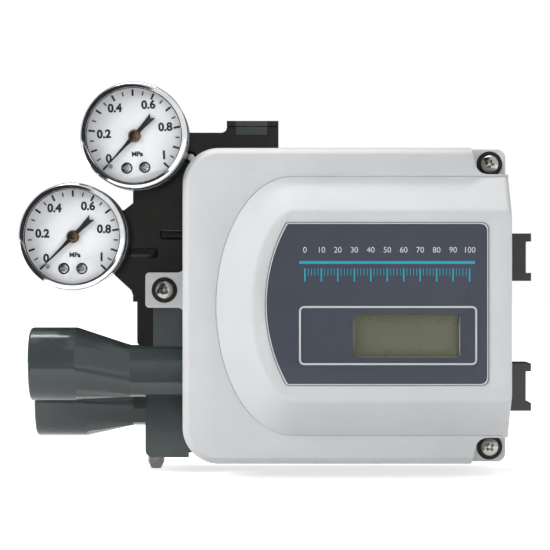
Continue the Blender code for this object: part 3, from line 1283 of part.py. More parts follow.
def gauge(name, centre):
    """One pressure gauge: case, bezel, lens, dial, pointer and movement with its stem."""
    back = BLOCK_FRONT - GAUGE_STANDOFF
    front = back - GAUGE_DEPTH
    case_radius = GAUGE_RADIUS - GAUGE_BEZEL_WALL - BORE_GAP
    inside = case_radius - GAUGE_WALL
    hole = GAUGE_STEM_RADIUS + BORE_GAP
    lens_back = front - SEAT_GAP
    lens_front = lens_back - GAUGE_LENS_THICKNESS
    lip_back = lens_front - SEAT_GAP
    lip_front = lip_back - GAUGE_BEZEL_LIP
    shoulder = lip_front + GAUGE_BEZEL_DEPTH + SEAT_GAP
    case = turned("Y", centre, [
        (hole, back), (GAUGE_RADIUS - GAUGE_CASE_CHAMFER, back),
        (GAUGE_RADIUS, back - GAUGE_CASE_CHAMFER), (GAUGE_RADIUS, shoulder),
        (case_radius, shoulder), (case_radius, front), (inside, front), (inside, back - GAUGE_WALL),
        (hole, back - GAUGE_WALL)], GAUGE_FACETS)
    piece(case, name + "_case", "chrome")

    lens = rod("Y", centre, lens_front, lens_back, case_radius - BORE_GAP, GAUGE_FACETS)
    piece(lens, name + "_lens", "clear")
    bezel = turned("Y", centre, [
        (GAUGE_OPENING_RADIUS, lip_back), (GAUGE_OPENING_RADIUS + GAUGE_LIP_CHAMFER, lip_front),
        (GAUGE_RADIUS - GAUGE_EDGE_CHAMFER, lip_front),
        (GAUGE_RADIUS, lip_front + GAUGE_EDGE_CHAMFER),
        (GAUGE_RADIUS, lip_front + GAUGE_BEZEL_DEPTH),
        (case_radius + BORE_GAP, lip_front + GAUGE_BEZEL_DEPTH),
        (case_radius + BORE_GAP, lip_back)], GAUGE_FACETS)
    piece(bezel, name + "_bezel", "chrome")

    pointer_hub = lens_back + SEAT_GAP
    pointer_front = pointer_hub + POINTER_HUB_RISE
    pointer_back = pointer_front + POINTER_THICKNESS
    dial_front = pointer_back + POINTER_LIFT
    dial_back = dial_front + GAUGE_DIAL_THICKNESS
    dial = rod("Y", centre, dial_front, dial_back, inside - BORE_GAP, GAUGE_FACETS)
    cut(dial, rod("Y", centre, dial_front - SINK, dial_back + SINK, 2 * ARBOR_RADIUS, 16))
    piece(dial, name + "_dial", "white")

    movement_front = dial_back + SEAT_GAP
    arbor_end = movement_front + ARBOR_DEPTH
    socket_end = back - MOVEMENT_SETBACK
    movement = rod("Y", centre, BLOCK_FRONT + GAUGE_STEM_DEPTH - SEAT_GAP, socket_end,
                   GAUGE_STEM_RADIUS)
    x, z = centre
    frame = box((x - MOVEMENT_WIDTH / 2, x + MOVEMENT_WIDTH / 2),
                (movement_front, socket_end + SINK),
                (z - MOVEMENT_HEIGHT / 2, z + MOVEMENT_HEIGHT / 2))
    collar = rod("Y", centre, back + SEAT_GAP, BLOCK_FRONT - SEAT_GAP, GAUGE_NUT_RADIUS, 6)
    spring = tube(bourdon_path(centre, back - BOURDON_SETBACK), BOURDON_TUBE_RADIUS, 1)
    join(movement, frame, collar, spring)
    cut(movement, rod("Y", centre, movement_front - SINK, arbor_end + SEAT_GAP,
                      ARBOR_RADIUS + BORE_GAP, 16))
    piece(movement, name + "_movement", "brass")

    needle = prism("Y", pointer_outline(centre), pointer_front, pointer_back)
    join(needle, rod("Y", centre, pointer_hub, pointer_back + BORE_GAP, POINTER_HUB_RADIUS),
         rod("Y", centre, pointer_back - BORE_GAP, arbor_end, ARBOR_RADIUS, 12))
    piece(needle, name + "_pointer", "ink")
    hang(joint_axis(name + "_pointer_axis", (x, pointer_front, z)), needle)


def bourdon_path(centre, y):
    """The C-shaped pressure tube, from the socket outwards and round."""
    start, sweep, steps = 250, 250, 12
    points = [(centre[0], y, centre[1])]
    for x, z in arc(centre, BOURDON_RADIUS, start, start - sweep, steps):
        points.append((x, y, z))
    return points


def pointer_outline(centre):
    """A tapered needle with a notched tail, turned to its zero."""
    tip, tail = POINTER_LENGTH, POINTER_TAIL
    half_tip, half_tail = POINTER_TIP_WIDTH / 2, POINTER_TAIL_WIDTH / 2
    shape = [(tip, -half_tip), (tip, half_tip), (-tail, half_tail), (-tail + POINTER_NOTCH, 0),
             (-tail, -half_tail)]
    angle = math.radians(POINTER_REST_ANGLE)
    along, across = math.cos(angle), math.sin(angle)
    return [(centre[0] + u * along - v * across, centre[1] + u * across + v * along)
            for u, v in shape]


def gear_outline(centre, teeth, phase):
    """Involute teeth round a gear; the phase is the angle of a tooth's middle, in degrees."""
    pitch = GEAR_MODULE * teeth / 2
    base = pitch * math.cos(math.radians(GEAR_PRESSURE_ANGLE))
    root, tip = pitch - GEAR_DEDENDUM * GEAR_MODULE, pitch + GEAR_MODULE
    half_tooth = math.pi / (2 * teeth) - GEAR_BACKLASH / (2 * pitch)

    def roll(radius):
        turn = math.sqrt(max((radius / base) ** 2 - 1, 0))
        return turn - math.atan(turn)

    radii = [root, pitch, tip]
    outline = []
    for index in range(teeth):
        middle = math.radians(phase) + 2 * math.pi * index / teeth
        flank = [(radius, half_tooth + roll(pitch) - roll(radius)) for radius in radii]
        turns = [(radius, middle - half) for radius, half in flank]
        turns += [(radius, middle + half) for radius, half in reversed(flank)]
        outline += [(centre[0] + r * math.cos(a), centre[1] + r * math.sin(a)) for r, a in turns]
    return outline


def feedback_shaft():
    """The shaft that the valve's stem turns, with its gear inside and its lever outside."""
    centre = (SHAFT_X, SHAFT_Z)
    bush_front = FLOOR - SEAT_GAP - BUSH_FLANGE
    inner = SHAFT_RADIUS + BORE_GAP
    bush = turned("Y", centre, [
        (inner, bush_front), (BUSH_FLANGE_RADIUS, bush_front),
        (BUSH_FLANGE_RADIUS, FLOOR - SEAT_GAP), (inner + BUSH_WALL, FLOOR - SEAT_GAP),
        (inner + BUSH_WALL, -SEAT_GAP), (inner, -SEAT_GAP)])
    piece(bush, "shaft_bush", "bronze")

    lever_front = LEVER_STANDOFF + SEAT_GAP
    lever_back = lever_front + LEVER_THICKNESS
    washer_front = lever_back + SEAT_GAP
    nut_front = washer_front + WASHER_THICKNESS + SEAT_GAP
    shaft_end = nut_front + NUT_HEIGHT + THREAD_END
    collar_front = GEAR_BACK + SEAT_GAP
    collar_back = collar_front + SHAFT_COLLAR
    seat = SHAFT_SEAT_RADIUS
    shaft = turned("Y", centre, [
        (0, GEAR_FRONT - SHAFT_CHAMFER), (seat - SHAFT_CHAMFER, GEAR_FRONT - SHAFT_CHAMFER),
        (seat, GEAR_FRONT),
        (seat, collar_front), (SHAFT_COLLAR_RADIUS, collar_front),
        (SHAFT_COLLAR_RADIUS, collar_back), (SHAFT_RADIUS, collar_back),
        (SHAFT_RADIUS, LEVER_STANDOFF), (seat, LEVER_STANDOFF), (seat, shaft_end - SHAFT_CHAMFER),
        (seat - SHAFT_CHAMFER, shaft_end), (0, shaft_end)])
    piece(shaft, "feedback_shaft", "steel")

    bore = arc(centre, seat + BORE_GAP, 0, 360, 20)[:-1]
    gear = prism("Y", gear_outline(centre, DRIVE_TEETH, 0), GEAR_FRONT, GEAR_BACK, holes=(bore,))
    hub = seat + GEAR_HUB_WALL
    recess = turned("Y", centre, [
        (hub, GEAR_FRONT - SINK), (GEAR_WEB_RADIUS, GEAR_FRONT - SINK),
        (GEAR_WEB_RADIUS, GEAR_FRONT + GEAR_WEB_RECESS), (hub, GEAR_FRONT + GEAR_WEB_RECESS)], 20)
    piece(cut(gear, recess), "drive_gear", "brass")

    half = LEVER_WIDTH / 2
    opening = math.degrees(math.asin(half / LEVER_HUB_RADIUS))
    tip = (SHAFT_X + LEVER_REACH, SHAFT_Z)
    outline = arc(centre, LEVER_HUB_RADIUS, opening, 360 - opening, 12) + arc(tip, half, -90, 90, 6)
    slot_half = LEVER_SLOT_WIDTH / 2
    slot = rounded(SHAFT_X + LEVER_SLOT_START, tip[0] + slot_half, SHAFT_Z - slot_half,
                   SHAFT_Z + slot_half, slot_half - BORE_GAP, 4)
    lever = prism("Y", outline, lever_front, lever_back, holes=(bore, slot))
    piece(lever, "feedback_lever", "steel")
    washer = turned("Y", centre, [
        (seat + BORE_GAP, washer_front), (WASHER_RADIUS, washer_front),
        (WASHER_RADIUS, washer_front + WASHER_THICKNESS),
        (seat + BORE_GAP, washer_front + WASHER_THICKNESS)])
    piece(washer, "lever_washer", "steel")
    corner = NUT_ACROSS_FLATS / math.sqrt(3)
    nut = prism("Y", arc(centre, corner, 0, 360, 6)[:-1], nut_front, nut_front + NUT_HEIGHT,
                holes=(bore,))
    piece(nut, "lever_nut", "steel")
    axis = joint_axis("feedback_axis", (SHAFT_X, 0, SHAFT_Z))
    hang(axis, shaft, gear, lever, washer, nut)


def angle_sensor():
    """The sensor, its bracket and the pinion that the drive gear turns."""
    centre = (SHAFT_X, PINION_Z)
    plate_back = GEAR_FRONT - BRACKET_CLEARANCE
    plate_front = plate_back - BRACKET_THICKNESS
    sensor_back = plate_front - SEAT_GAP
    sensor_front = sensor_back - SENSOR_DEPTH
    shaft_tip = sensor_back - SENSOR_SHAFT_DEPTH
    bore = SENSOR_SHAFT_RADIUS + BORE_GAP
    body = rod("Y", centre, sensor_front, sensor_back, SENSOR_RADIUS, 24)
    cut(body, rod("Y", centre, shaft_tip - SEAT_GAP, sensor_back + SINK, bore, 16))
    piece(body, "angle_sensor", "ink")

    half = BRACKET_WIDTH / 2
    x, z = centre
    plate = rounded(x - half, x + half, z - BRACKET_DROP, z + BRACKET_HEIGHT, BRACKET_ROUND, 2)
    bracket = prism("Y", plate, plate_front, plate_back)
    for side in (-1, 1):
        foot = box((x + side * (half - BRACKET_FOOT_WIDTH), x + side * half),
                   (plate_front + BRACKET_THICKNESS / 2, FLOOR - SEAT_GAP),
                   (z + BRACKET_FOOT_RISE, z + BRACKET_HEIGHT - BRACKET_ROUND))
        join(bracket, foot)
    cut(bracket, rod("Y", centre, plate_front - SINK, plate_back + SINK, bore, 16))
    piece(bracket, "sensor_bracket", "steel")

    phase = 270 + 180 / PINION_TEETH
    pinion = prism("Y", gear_outline(centre, PINION_TEETH, phase), GEAR_FRONT, GEAR_BACK)
    join(pinion, rod("Y", centre, shaft_tip, GEAR_BACK + PINION_HUB, SENSOR_SHAFT_RADIUS, 16))
    piece(pinion, "sensor_pinion", "brass")
    hang(joint_axis("sensor_axis", (x, GEAR_FRONT, z)), pinion)


def torque_motor():
    """The coil and magnet that tilt the flapper in front of the nozzle."""
    back = MOTOR_BACK
    front = back - MOTOR_DEPTH
    middle = motor_middle()
    left, right = MOTOR_X - YOKE_WIDTH / 2, MOTOR_X + YOKE_WIDTH / 2
    low, high = MOTOR_BOTTOM, MOTOR_BOTTOM + YOKE_HEIGHT
    inner_left, inner_right = left + YOKE_BAR, right - YOKE_BAR
    pole_left, pole_right = MOTOR_X - POLE_GAP / 2, MOTOR_X + POLE_GAP / 2
    bed, pole_low = low + YOKE_BAR, high - POLE_HEIGHT
    outline = [
        (left, low), (right, low), (right, high), (pole_right, high), (pole_right, pole_low),
        (inner_right, pole_low), (inner_right, bed), (inner_left, bed), (inner_left, pole_low),
        (pole_left, pole_low), (pole_left, high), (left, high)]
    piece(prism("Y", outline, front, back), "motor_yoke", "steel")
    magnet = box((left, right), (back + SEAT_GAP, back + SEAT_GAP + MAGNET_DEPTH),
                 (high - MAGNET_HEIGHT, high))
    piece(magnet, "motor_magnet", "ink")

    foot = bed + SEAT_GAP
    half_x = inner_right - SEAT_GAP - MOTOR_X
    half_y = MOTOR_DEPTH / 2
    coil = prism("Z", rounded(MOTOR_X - half_x, MOTOR_X + half_x, middle - half_y, middle + half_y,
                              COIL_ROUND, 3), foot, foot + COIL_HEIGHT,
                 holes=(rounded(MOTOR_X - half_x + COIL_WALL, MOTOR_X + half_x - COIL_WALL,
                                middle - half_y + COIL_END, middle + half_y - COIL_END,
                                COIL_HOLE_ROUND, 2),))
    piece(coil, "motor_coil", "copper")
    half_blade, half_width = FLAPPER_THICKNESS / 2, FLAPPER_WIDTH / 2
    flapper = box((MOTOR_X - half_blade, MOTOR_X + half_blade),
                  (middle - half_width, middle + half_width), (foot, foot + FLAPPER_HEIGHT))
    piece(flapper, "flapper", "steel")
    hang(joint_axis("flapper_axis", (MOTOR_X, middle, foot)), flapper)

    wall = -SIDE + HOUSING_WALL + SEAT_GAP
    tip = MOTOR_X - half_blade - NOZZLE_AIR_GAP
    bore = NOZZLE_BORE_RADIUS
    nozzle = turned("X", (middle, nozzle_height()), [
        (bore, wall), (NOZZLE_FLANGE_RADIUS, wall), (NOZZLE_FLANGE_RADIUS, wall + NOZZLE_FLANGE),
        (NOZZLE_RADIUS, wall + NOZZLE_FLANGE), (NOZZLE_RADIUS, tip - 2 * NOZZLE_RADIUS),
        (NOZZLE_TIP_RADIUS, tip), (bore, tip)], 12)
    piece(nozzle, "nozzle", "brass")


def nozzle_height():
    """The Z of the nozzle, which blows on the flapper just under its top."""
    return MOTOR_BOTTOM + YOKE_BAR + FLAPPER_HEIGHT - NOZZLE_DROP


def electronics():
    """The board on its posts, the controller's case over it, the display and the buttons."""
    board = box((BOARD_LEFT, BOARD_RIGHT), (BOARD_FRONT, BOARD_BACK),
                (-BOARD_HALF_HEIGHT, BOARD_HALF_HEIGHT))
    piece(board, "circuit_board", "green")
    case_back = BOARD_FRONT - SEAT_GAP
    high = BOARD_HALF_HEIGHT
    case = prism("Y", rounded(BOARD_LEFT, BOARD_RIGHT, -high, high, CASE_ROUND, 3),
                 CASE_FRONT, case_back)
    wall = CASE_WALL
    cut(case, prism("Y", rounded(BOARD_LEFT + wall, BOARD_RIGHT - wall, -high + wall, high - wall,
                                 max(CASE_ROUND - wall, LEAST_ROUND), 3),
                    CASE_FRONT + wall, case_back + SINK))
    piece(case, "controller_case", "ink")
    across, up = window(DISPLAY_MARGIN)
    display = box(across, (DISPLAY_FRONT, CASE_FRONT - SEAT_GAP), up)
    piece(display, "lcd_module", "display")

    cap_back = CASE_FRONT - BUTTON_TRAVEL - SEAT_GAP
    cap_front = cap_back - BUTTON_RISE
    stop = CASE_FRONT + CASE_WALL + SEAT_GAP
    for name, inset in BUTTON_INSETS.items():
        x = BOARD_RIGHT - inset
        centre = (x, BUTTON_Z)
        cut(case, rod("Y", centre, CASE_FRONT - SINK, CASE_FRONT + CASE_WALL + SINK,
                      BUTTON_STEM_RADIUS + BORE_GAP, 20))
        button = turned("Y", centre, [
            (0, cap_front), (BUTTON_RADIUS - BUTTON_CHAMFER, cap_front),
            (BUTTON_RADIUS, cap_front + BUTTON_CHAMFER),
            (BUTTON_RADIUS, cap_back), (BUTTON_STEM_RADIUS, cap_back), (BUTTON_STEM_RADIUS, stop),
            (BUTTON_FLANGE_RADIUS, stop), (BUTTON_FLANGE_RADIUS, stop + BUTTON_FLANGE),
            (0, stop + BUTTON_FLANGE)], 12)
        piece(button, name, "nylon")
        hang(joint_axis(name + "_axis", (x, cap_front, BUTTON_Z)), button)


def terminals():
    """The terminal block on its ledge, with a screw in each well."""
    front = FRONT + TERMINAL_SETBACK
    back = front + TERMINAL_DEPTH
    block = box((TERMINAL_LEFT, TERMINAL_RIGHT), (front, back), (TERMINAL_BOTTOM, TERMINAL_TOP))
    pitch = (TERMINAL_RIGHT - TERMINAL_LEFT) / TERMINAL_COUNT
    floor = front + TERMINAL_WELL
    middle = (TERMINAL_BOTTOM + TERMINAL_TOP) / 2
    for index in range(TERMINAL_COUNT):
        left = TERMINAL_LEFT + index * pitch
        x = left + pitch / 2
        well = box((left + RIB_THICKNESS / 2, left + pitch - RIB_THICKNESS / 2),
                   (front - SINK, floor), (TERMINAL_BOTTOM - SINK, TERMINAL_TOP - RIB_THICKNESS))
        hole = rod("Y", (x, middle), floor - SINK, floor + TERMINAL_SCREW_LENGTH + SEAT_GAP,
                   TERMINAL_SCREW_RADIUS + BORE_GAP, 12)
        entry = rod("Z", (x, floor + TERMINAL_SCREW_LENGTH / 2), TERMINAL_BOTTOM - SINK, middle,
                    WIRE_HOLE_RADIUS, 12)
        cut(block, well, hole, entry)
        screw = machine_screw("Y", (x, middle), floor - SEAT_GAP, TERMINAL_SCREW_HEAD,
                              TERMINAL_SCREW_HEIGHT, TERMINAL_SCREW_RADIUS, TERMINAL_SCREW_LENGTH)
        piece(screw, f"terminal_screw_{index + 1}", "steel")
    piece(block, "terminal_block", "nylon")


def earth_screws():
    """One earth screw in the wiring space and one under the lower left corner box."""
    seat = FLOOR - EARTH_BOSS_HEIGHT - SEAT_GAP
    inside = machine_screw("Y", EARTH_INSIDE, seat, EARTH_HEAD_RADIUS, EARTH_HEAD_HEIGHT,
                           EARTH_RADIUS, EARTH_LENGTH)
    piece(inside, "earth_screw_inside", "brass")
    spot = (EARTH_OUTSIDE_X, FRONT + EARTH_OUTSIDE_SETBACK)
    outside = machine_screw("Z", spot, CORNER_BOX_BOTTOM - SEAT_GAP, EARTH_HEAD_RADIUS,
                            EARTH_OUTSIDE_HEIGHT, EARTH_RADIUS, EARTH_LENGTH)
    piece(outside, "earth_screw_outside", "steel")


def conduit_plug():
    """The blanking plug in the rear conduit entry, with a hexagon socket."""
    centre = (REAR_CONDUIT["y"], REAR_CONDUIT["z"])
    start = CONDUIT_END + PLUG_SETBACK
    plug = rod("X", centre, start, start + PLUG_DEPTH, PLUG_RADIUS)
    socket = rod("X", centre, start - SINK, start + PLUG_SOCKET, PLUG_SOCKET_RADIUS, 6)
    piece(cut(plug, socket), "conduit_plug", "steel")


def pilot_valve():
    """The poppet in the relay's chamber and the spring that holds it down."""
    centre = (RELAY_X, BLOCK_MIDDLE)
    low = PILOT_CHAMBER_FLOOR + SEAT_GAP
    shoulder = low + POPPET_THICKNESS
    poppet = turned("Z", centre, [
        (0, low), (POPPET_RADIUS, low), (POPPET_RADIUS, shoulder), (POPPET_STEM_RADIUS, shoulder),
        (POPPET_STEM_RADIUS, shoulder + POPPET_STEM), (0, shoulder + POPPET_STEM)], 20)
    piece(poppet, "pilot_poppet", "brass")
    start = shoulder + SEAT_GAP + SPRING_WIRE_RADIUS
    end = RELAY_LID - SPRING_WIRE_RADIUS
    steps = round(SPRING_TURNS * 8)
    points = []
    for step in range(steps + 1):
        turn = 2 * math.pi * SPRING_TURNS * step / steps
        points.append((RELAY_X + SPRING_RADIUS * math.cos(turn),
                       BLOCK_MIDDLE + SPRING_RADIUS * math.sin(turn),
                       start + (end - start) * step / steps))
    piece(tube(points, SPRING_WIRE_RADIUS, 0), "pilot_spring", "steel")
    hang(joint_axis("pilot_axis", (RELAY_X, BLOCK_MIDDLE, low)), poppet)


def main():
    clear_scene()
    main_housing()
    pneumatic_block()
    block_gasket()
    block_screws()
    pilot_cover()
    block_fittings()
    pilot_valve()
    cover_parts()
    for name, centre in GAUGE_CENTRES.items():
        gauge(name, centre)
    feedback_shaft()
    angle_sensor()
    torque_motor()
    electronics()
    terminals()
    earth_screws()
    conduit_plug()


main()
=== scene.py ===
"""The looks of the valve positioner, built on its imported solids.

Units are metres in the solids' own frame: +X to the right, +Y to the back and +Z up. The pieces
that show are rebuilt here with soft edges, markings and finishes; the rest get a finish only.
"""

import json
import math

import bmesh
import bpy
from mathutils import Matrix, Vector

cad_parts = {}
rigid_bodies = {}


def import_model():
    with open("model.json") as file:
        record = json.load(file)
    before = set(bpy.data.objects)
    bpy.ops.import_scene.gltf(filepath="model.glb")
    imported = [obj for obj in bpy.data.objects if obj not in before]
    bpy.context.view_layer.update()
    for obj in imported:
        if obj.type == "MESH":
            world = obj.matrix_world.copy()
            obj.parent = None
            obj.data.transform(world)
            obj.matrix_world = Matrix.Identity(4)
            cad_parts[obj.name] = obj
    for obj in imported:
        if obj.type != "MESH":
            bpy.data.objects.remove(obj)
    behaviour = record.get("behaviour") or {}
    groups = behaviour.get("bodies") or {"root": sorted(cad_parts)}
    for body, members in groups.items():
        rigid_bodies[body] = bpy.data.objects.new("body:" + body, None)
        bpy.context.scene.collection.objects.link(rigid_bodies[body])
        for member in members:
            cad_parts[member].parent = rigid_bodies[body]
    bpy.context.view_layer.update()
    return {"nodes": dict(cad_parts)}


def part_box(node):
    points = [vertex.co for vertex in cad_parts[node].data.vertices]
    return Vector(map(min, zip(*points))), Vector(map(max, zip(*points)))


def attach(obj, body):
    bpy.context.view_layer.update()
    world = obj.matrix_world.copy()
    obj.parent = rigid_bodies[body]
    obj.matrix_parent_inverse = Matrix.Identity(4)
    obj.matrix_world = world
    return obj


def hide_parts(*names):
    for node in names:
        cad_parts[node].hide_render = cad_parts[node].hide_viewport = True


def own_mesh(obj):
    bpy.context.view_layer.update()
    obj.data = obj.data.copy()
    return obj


# Camera: its place, its lens and sensor in millimetres, and the nearest thing that it shows
CAMERA_SPOT = (-0.02825, -1.032, 0.0124)
CAMERA_LENS = 155.5
CAMERA_SENSOR = 36
CAMERA_NEAREST = 0.05
FLOOR_Z = -0.0698
FLOOR_HALF = 6

# Light: each lamp's place, width and depth, share of full white at the aim, and whether
# reflections show it
AIM = (-0.03, -0.05, 0.01)
LAMPS = (
    ("key", (-1.35, -0.75, 0.75), (0.7, 0.7), 0.66, False),
    ("front", (0.10, -1.60, 0.90), (1.0, 1.0), 0.10, False),
    ("fill", (1.10, -1.10, 0.10), (1.0, 1.0), 0.08, False),
    ("top", (-0.10, 0.30, 1.50), (1.1, 0.30), 0.44, True),
)
# Dark cards for reflections: each one's place, the spot that it faces and its size
FLAGS = {
    "flag_left": ((-1.15, -0.85, 0.70), AIM, (3.8, 2.9, 1.0)),
    "flag_back": ((0.0, 1.60, 0.60), AIM, (3.0, 2.4, 1.0)),
    "flag_floor": ((-0.78, -0.62, -0.068), (-0.78, -0.62, 1.0), (1.2, 1.2, 1.0)),
    "flag_front": ((-0.10, -0.75, -0.067), (-0.10, -0.75, 1.0), (0.3, 1.0, 1.0)),
}
WORLD_LIGHT = 0.39
FLOOR_TONE = (0.94, 0.94, 0.94)
FLOOR_GLOW = 0.72
FLOOR_NEAR = 0.25
FLOOR_FAR = 0.80

# Gap between pieces, a cutter's run past a face, and the distance at which points are one
GAP = 0.0003
SINK = 0.001
SAME = 0.000002

# Housing: its half width and the radii of its corners at the left and the right
SIDE = 0.06435
LEFT_ROUND = 0.0136
RIGHT_ROUND = 0.0035

# Cover
COVER_BACK = -0.0563
LAND_FRONT = -0.0663
FLANGE_FRONT = -0.0820
CROWN = -0.0960
COVER_SIDE = 0.06535
COVER_TOP = 0.0634
COVER_EDGE = 0.0004
LEAST_ROUND = 0.0005
WALLS = {"side": 0.0052, "flange": 0.003, "pocket": 0.003, "dome": 0.003}
FLANGE_RIM = ((0.0, 0.0036), (0.00015, 0.0029), (0.0005, 0.0022), (0.0020, 0.0006),
              (0.00245, 0.00018), (0.0030, 0.0))
# A thin dark ring around each screw head, in its seat: its front, back, inner and outer radius
HEAD_RING = {"front": -0.0662, "back": -0.0656, "inner": 0.0028, "outer": 0.0052}
SCREW_HEAD = {"seat": -0.0665, "radius": 0.0037, "rise": 0.0025, "shank": 0.0025}
DOME_RISE = 0.0140
DOME_BASE = {"half": 0.0515, "radius": 0.0302, "centre": -0.0214}
DOME_TOP = {"half": 0.0375, "radius": 0.0170, "centre": -0.0204}
DOME_RIGHT = 0.06515
DOME_CORNER = 0.0022
DOME_FOOT = 0.012
DOME_EDGE = 0.085
DOME_HOLLOW = ((0, -0.004 / DOME_RISE), (0, 0), (0.71, 0.71))
DOME_GROOVE = ((-0.050, -0.0002), (-0.040, 0.0), (0.0, 0.0006))
POCKET_LOW = 0.0527
POCKET_AT_DOME = 0.0126
POCKET_AT_EDGE = 0.0160
POCKET_PAST = 0.005
POCKET_ROUND = 0.0045
TAB_LEFT = -0.08095
TAB_LOW = -0.0009
TAB_HIGH = 0.0134
TAB_FILLET = 0.0025
TAB_CORNER = 0.0016
SCREW_BORE = 0.0026
SCREW_SEAT = {"radius": 0.00525, "depth": 0.0008}
SCREWS = {
    "cover_screw_top": (0.0589, 0.0574),
    "cover_screw_bottom": (0.0589, -0.0574),
    "cover_screw_left": (-0.0732, 0.0063),
}
SCREW_TURNS = {"cover_screw_top": 12, "cover_screw_bottom": 52, "cover_screw_left": 33}

# A screw head's profile, its cross and its thread, as shares of radius and rise, or in metres
PAN_HEAD = ((0, 0), (0.30, 0.012), (0.58, 0.06), (0.80, 0.20), (0.93, 0.40), (0.99, 0.65),
            (1, 0.85), (0.985, 1))
CROSS = {"depth": 0.62, "reach": 0.52, "end": 0.35, "widths": (0.00075, 0.00062, 0.00030)}
THREAD = {"pitch": 0.0008, "start": 0.001, "spare": 0.002, "crest": 0.25, "root": 0.75,
          "core": 0.86, "point": 0.6, "chamfer": 0.0006}

# Name panel and window
PANEL = {"left": -0.0321, "right": 0.0559, "low": -0.0311, "high": 0.0331, "bow": 0.0083}
WINDOW = {"left": 0.0023, "right": 0.0447, "low": -0.0200, "high": -0.0031}
PANEL_FACE = -0.0963
PANEL_BACK = -0.0953
PANEL_ROUND = 0.0030
PANEL_EDGE = 0.00015
PANEL_SEAT = (0.0001, 0.0010)
LENS_SEAT = (0.0023, 0.0026)
OPENING = (0.0, 0.006)
WINDOW_ROUND = 0.0010
# A white line just inside the panel's outline, between two insets: a painted highlight of the
# recess's edge
PAINTED_EDGE_HIGHLIGHT = (-0.00016, -0.00056)
PRINT_LIFT = 0.00003
PRINT = 0.00006
FRAME_WIDTH = 0.0008
FRAME_RISE = 0.0003
FRAME_ROUNDS = (0.0021, 0.0012)
FRAME_EDGE = 0.00012
SCALE = {"left": -0.01868, "right": 0.05057, "z": 0.01733, "half": 0.00059, "margin": 0.0022,
         "figure": 0.0032, "figure_z": 0.0222, "tick_low": 0.0098, "tick_middle": 0.0122,
         "tick_high": 0.0150, "round": 0.0002, "steps": 10, "parts": 5, "tick_half": 0.0003,
         "fine_half": 0.00014}
FRAME_LINE = {"left": -0.0188, "right": 0.0514, "low": -0.0231, "high": 0.0002}

# Gauges
GAUGES = {"output_gauge": (-0.0846, 0.0682, 2.5), "supply_gauge": (-0.1093, 0.0278, 0.0)}
DIAL_FACE = -0.0795
GAUGE_OPENING = 0.0192
GAUGE_CASE_RADIUS = 0.0206
GAUGE_WALL = 0.0010
GAUGE_NECK = 0.0054
GAUGE_BACK_ROUND = 0.0025
CASE_WAIST = ((0.0004, 0), (0, 0.0004), (0, 0.0030), (0.0003, 0.0034), (0.0003, 0.0050), (0, 0.0054))
BEZEL_CHAMFER = (0.0004, 0.0006)
LENS_CHAMFER = 0.0003
BEZEL_SLOPE = (
    (0.0192, 0.00004), (0.01925, 0.0), (0.0195, 0.00003), (0.0198, 0.0001), (0.0201, 0.0002),
    (0.0204, 0.00034), (0.0207, 0.00054), (0.0210, 0.0008), (0.02125, 0.00118), (0.0214, 0.0016),
    (0.0215, 0.0024))
BEZEL_SEAT = 0.0012
# A thin black ring in front of the glass's edge, under the bezel: painted shade for the gap between
# bezel and glass; its inner and outer radius and its thickness
LENS_SHADE_RING = (0.0189, 0.0198, 0.00025)
DIAL = {
    "major": (0.0160, 0.0186, 0.00040), "minor": (0.0164, 0.0181, 0.00026),
    "start": 225, "sweep": 270, "steps": 10, "parts": 2, "edge": 0.00008, "weight": 0.040,
    "figure_size": 0.0046, "unit_size": 0.0026, "screw_x": 0.0036, "screw_z": 0.0128,
    "screw_hole": 0.0023, "hub_hole": 0.0026, "pin": (-0.0099, -0.0119),
    "figures": (("0", -0.0107, -0.0088), ("0.2", -0.0122, 0.0011), ("0.4", -0.0074, 0.0113),
                ("0.6", 0.0061, 0.0121), ("0.8", 0.0125, 0.0029), ("1", 0.0115, -0.0083),
                ("MPa", 0.0008, -0.0074)),
}
# Turned parts on the dial, as (radius, distance behind its face), and the screw's slot
DIAL_SCREW = ((0, -0.0004), (0.0012, -0.0004), (0.0017, -0.0002))
DIAL_SCREW_FOOT = (0.0018, 0.0004)
DIAL_SLOT = {"half": 0.0022, "half_width": 0.0002, "front": -0.0006, "back": -0.0001}
STOP_PIN = ((0, -0.0010), (0.0005, -0.0010), (0.0008, -0.0007), (0.0008, 0.0002), (0, 0.0002))

# Pointer: its blade as (distance from the hub, half width), and its hub as (radius, distance
# behind the hub's own front), then behind the blade's front and back
POINTER = {"front": -0.0806, "back": -0.0801, "edge": 0.00006}
NEEDLE = ((0.0179, 0.00012), (0.0050, 0.00058), (0.0030, 0.00085), (-0.0030, 0.00085),
          (-0.0045, 0.00085), (-0.0079, 0.00118), (-0.0109, 0.00145), (-0.0097, 0.00025))
HUB_CROWN = ((0, 0), (0.0011, 0), (0.0017, 0.0002), (0.0020, 0.0005))
HUB_SEAT = ((0.0020, -0.00003), (0.0010, -0.00003))
HUB_SPINDLE = ((0.0010, 0.0002), (0.0007, 0.0003))

# Window lens and display. On the display a painted shade of its frame, browner, begins outside an
# unshaded box (middle, half size) and fades in over a width; a share of its colour is a painted glow
# in place of lamp light
LENS_ROUND = 0.0008
LCD_ROUND = 0.0006
SHEET_EDGE = 0.0002
LCD_PAINTED_GLOW = 0.7
LCD_DIMMING = 0.82
LCD_LIFT = 0.0003
LCD_GAP = 0.00003
LCD_UNSHADED_BOX = ((0.0240, -0.0912, -0.01155), (0.0205, 0.01, 0.0086))
LCD_SHADE_FADE = 0.0042
LCD_FACE = {"left": 0.0026, "right": 0.0037, "rim": 0.0006, "round": 0.0012}

# Relay spring: its wire's radius, its turns, the poppet's travel and the rings in a turn
SPRING = {"wire": 0.00035, "turns": 2.5, "travel": 0.0012, "steps": 32}

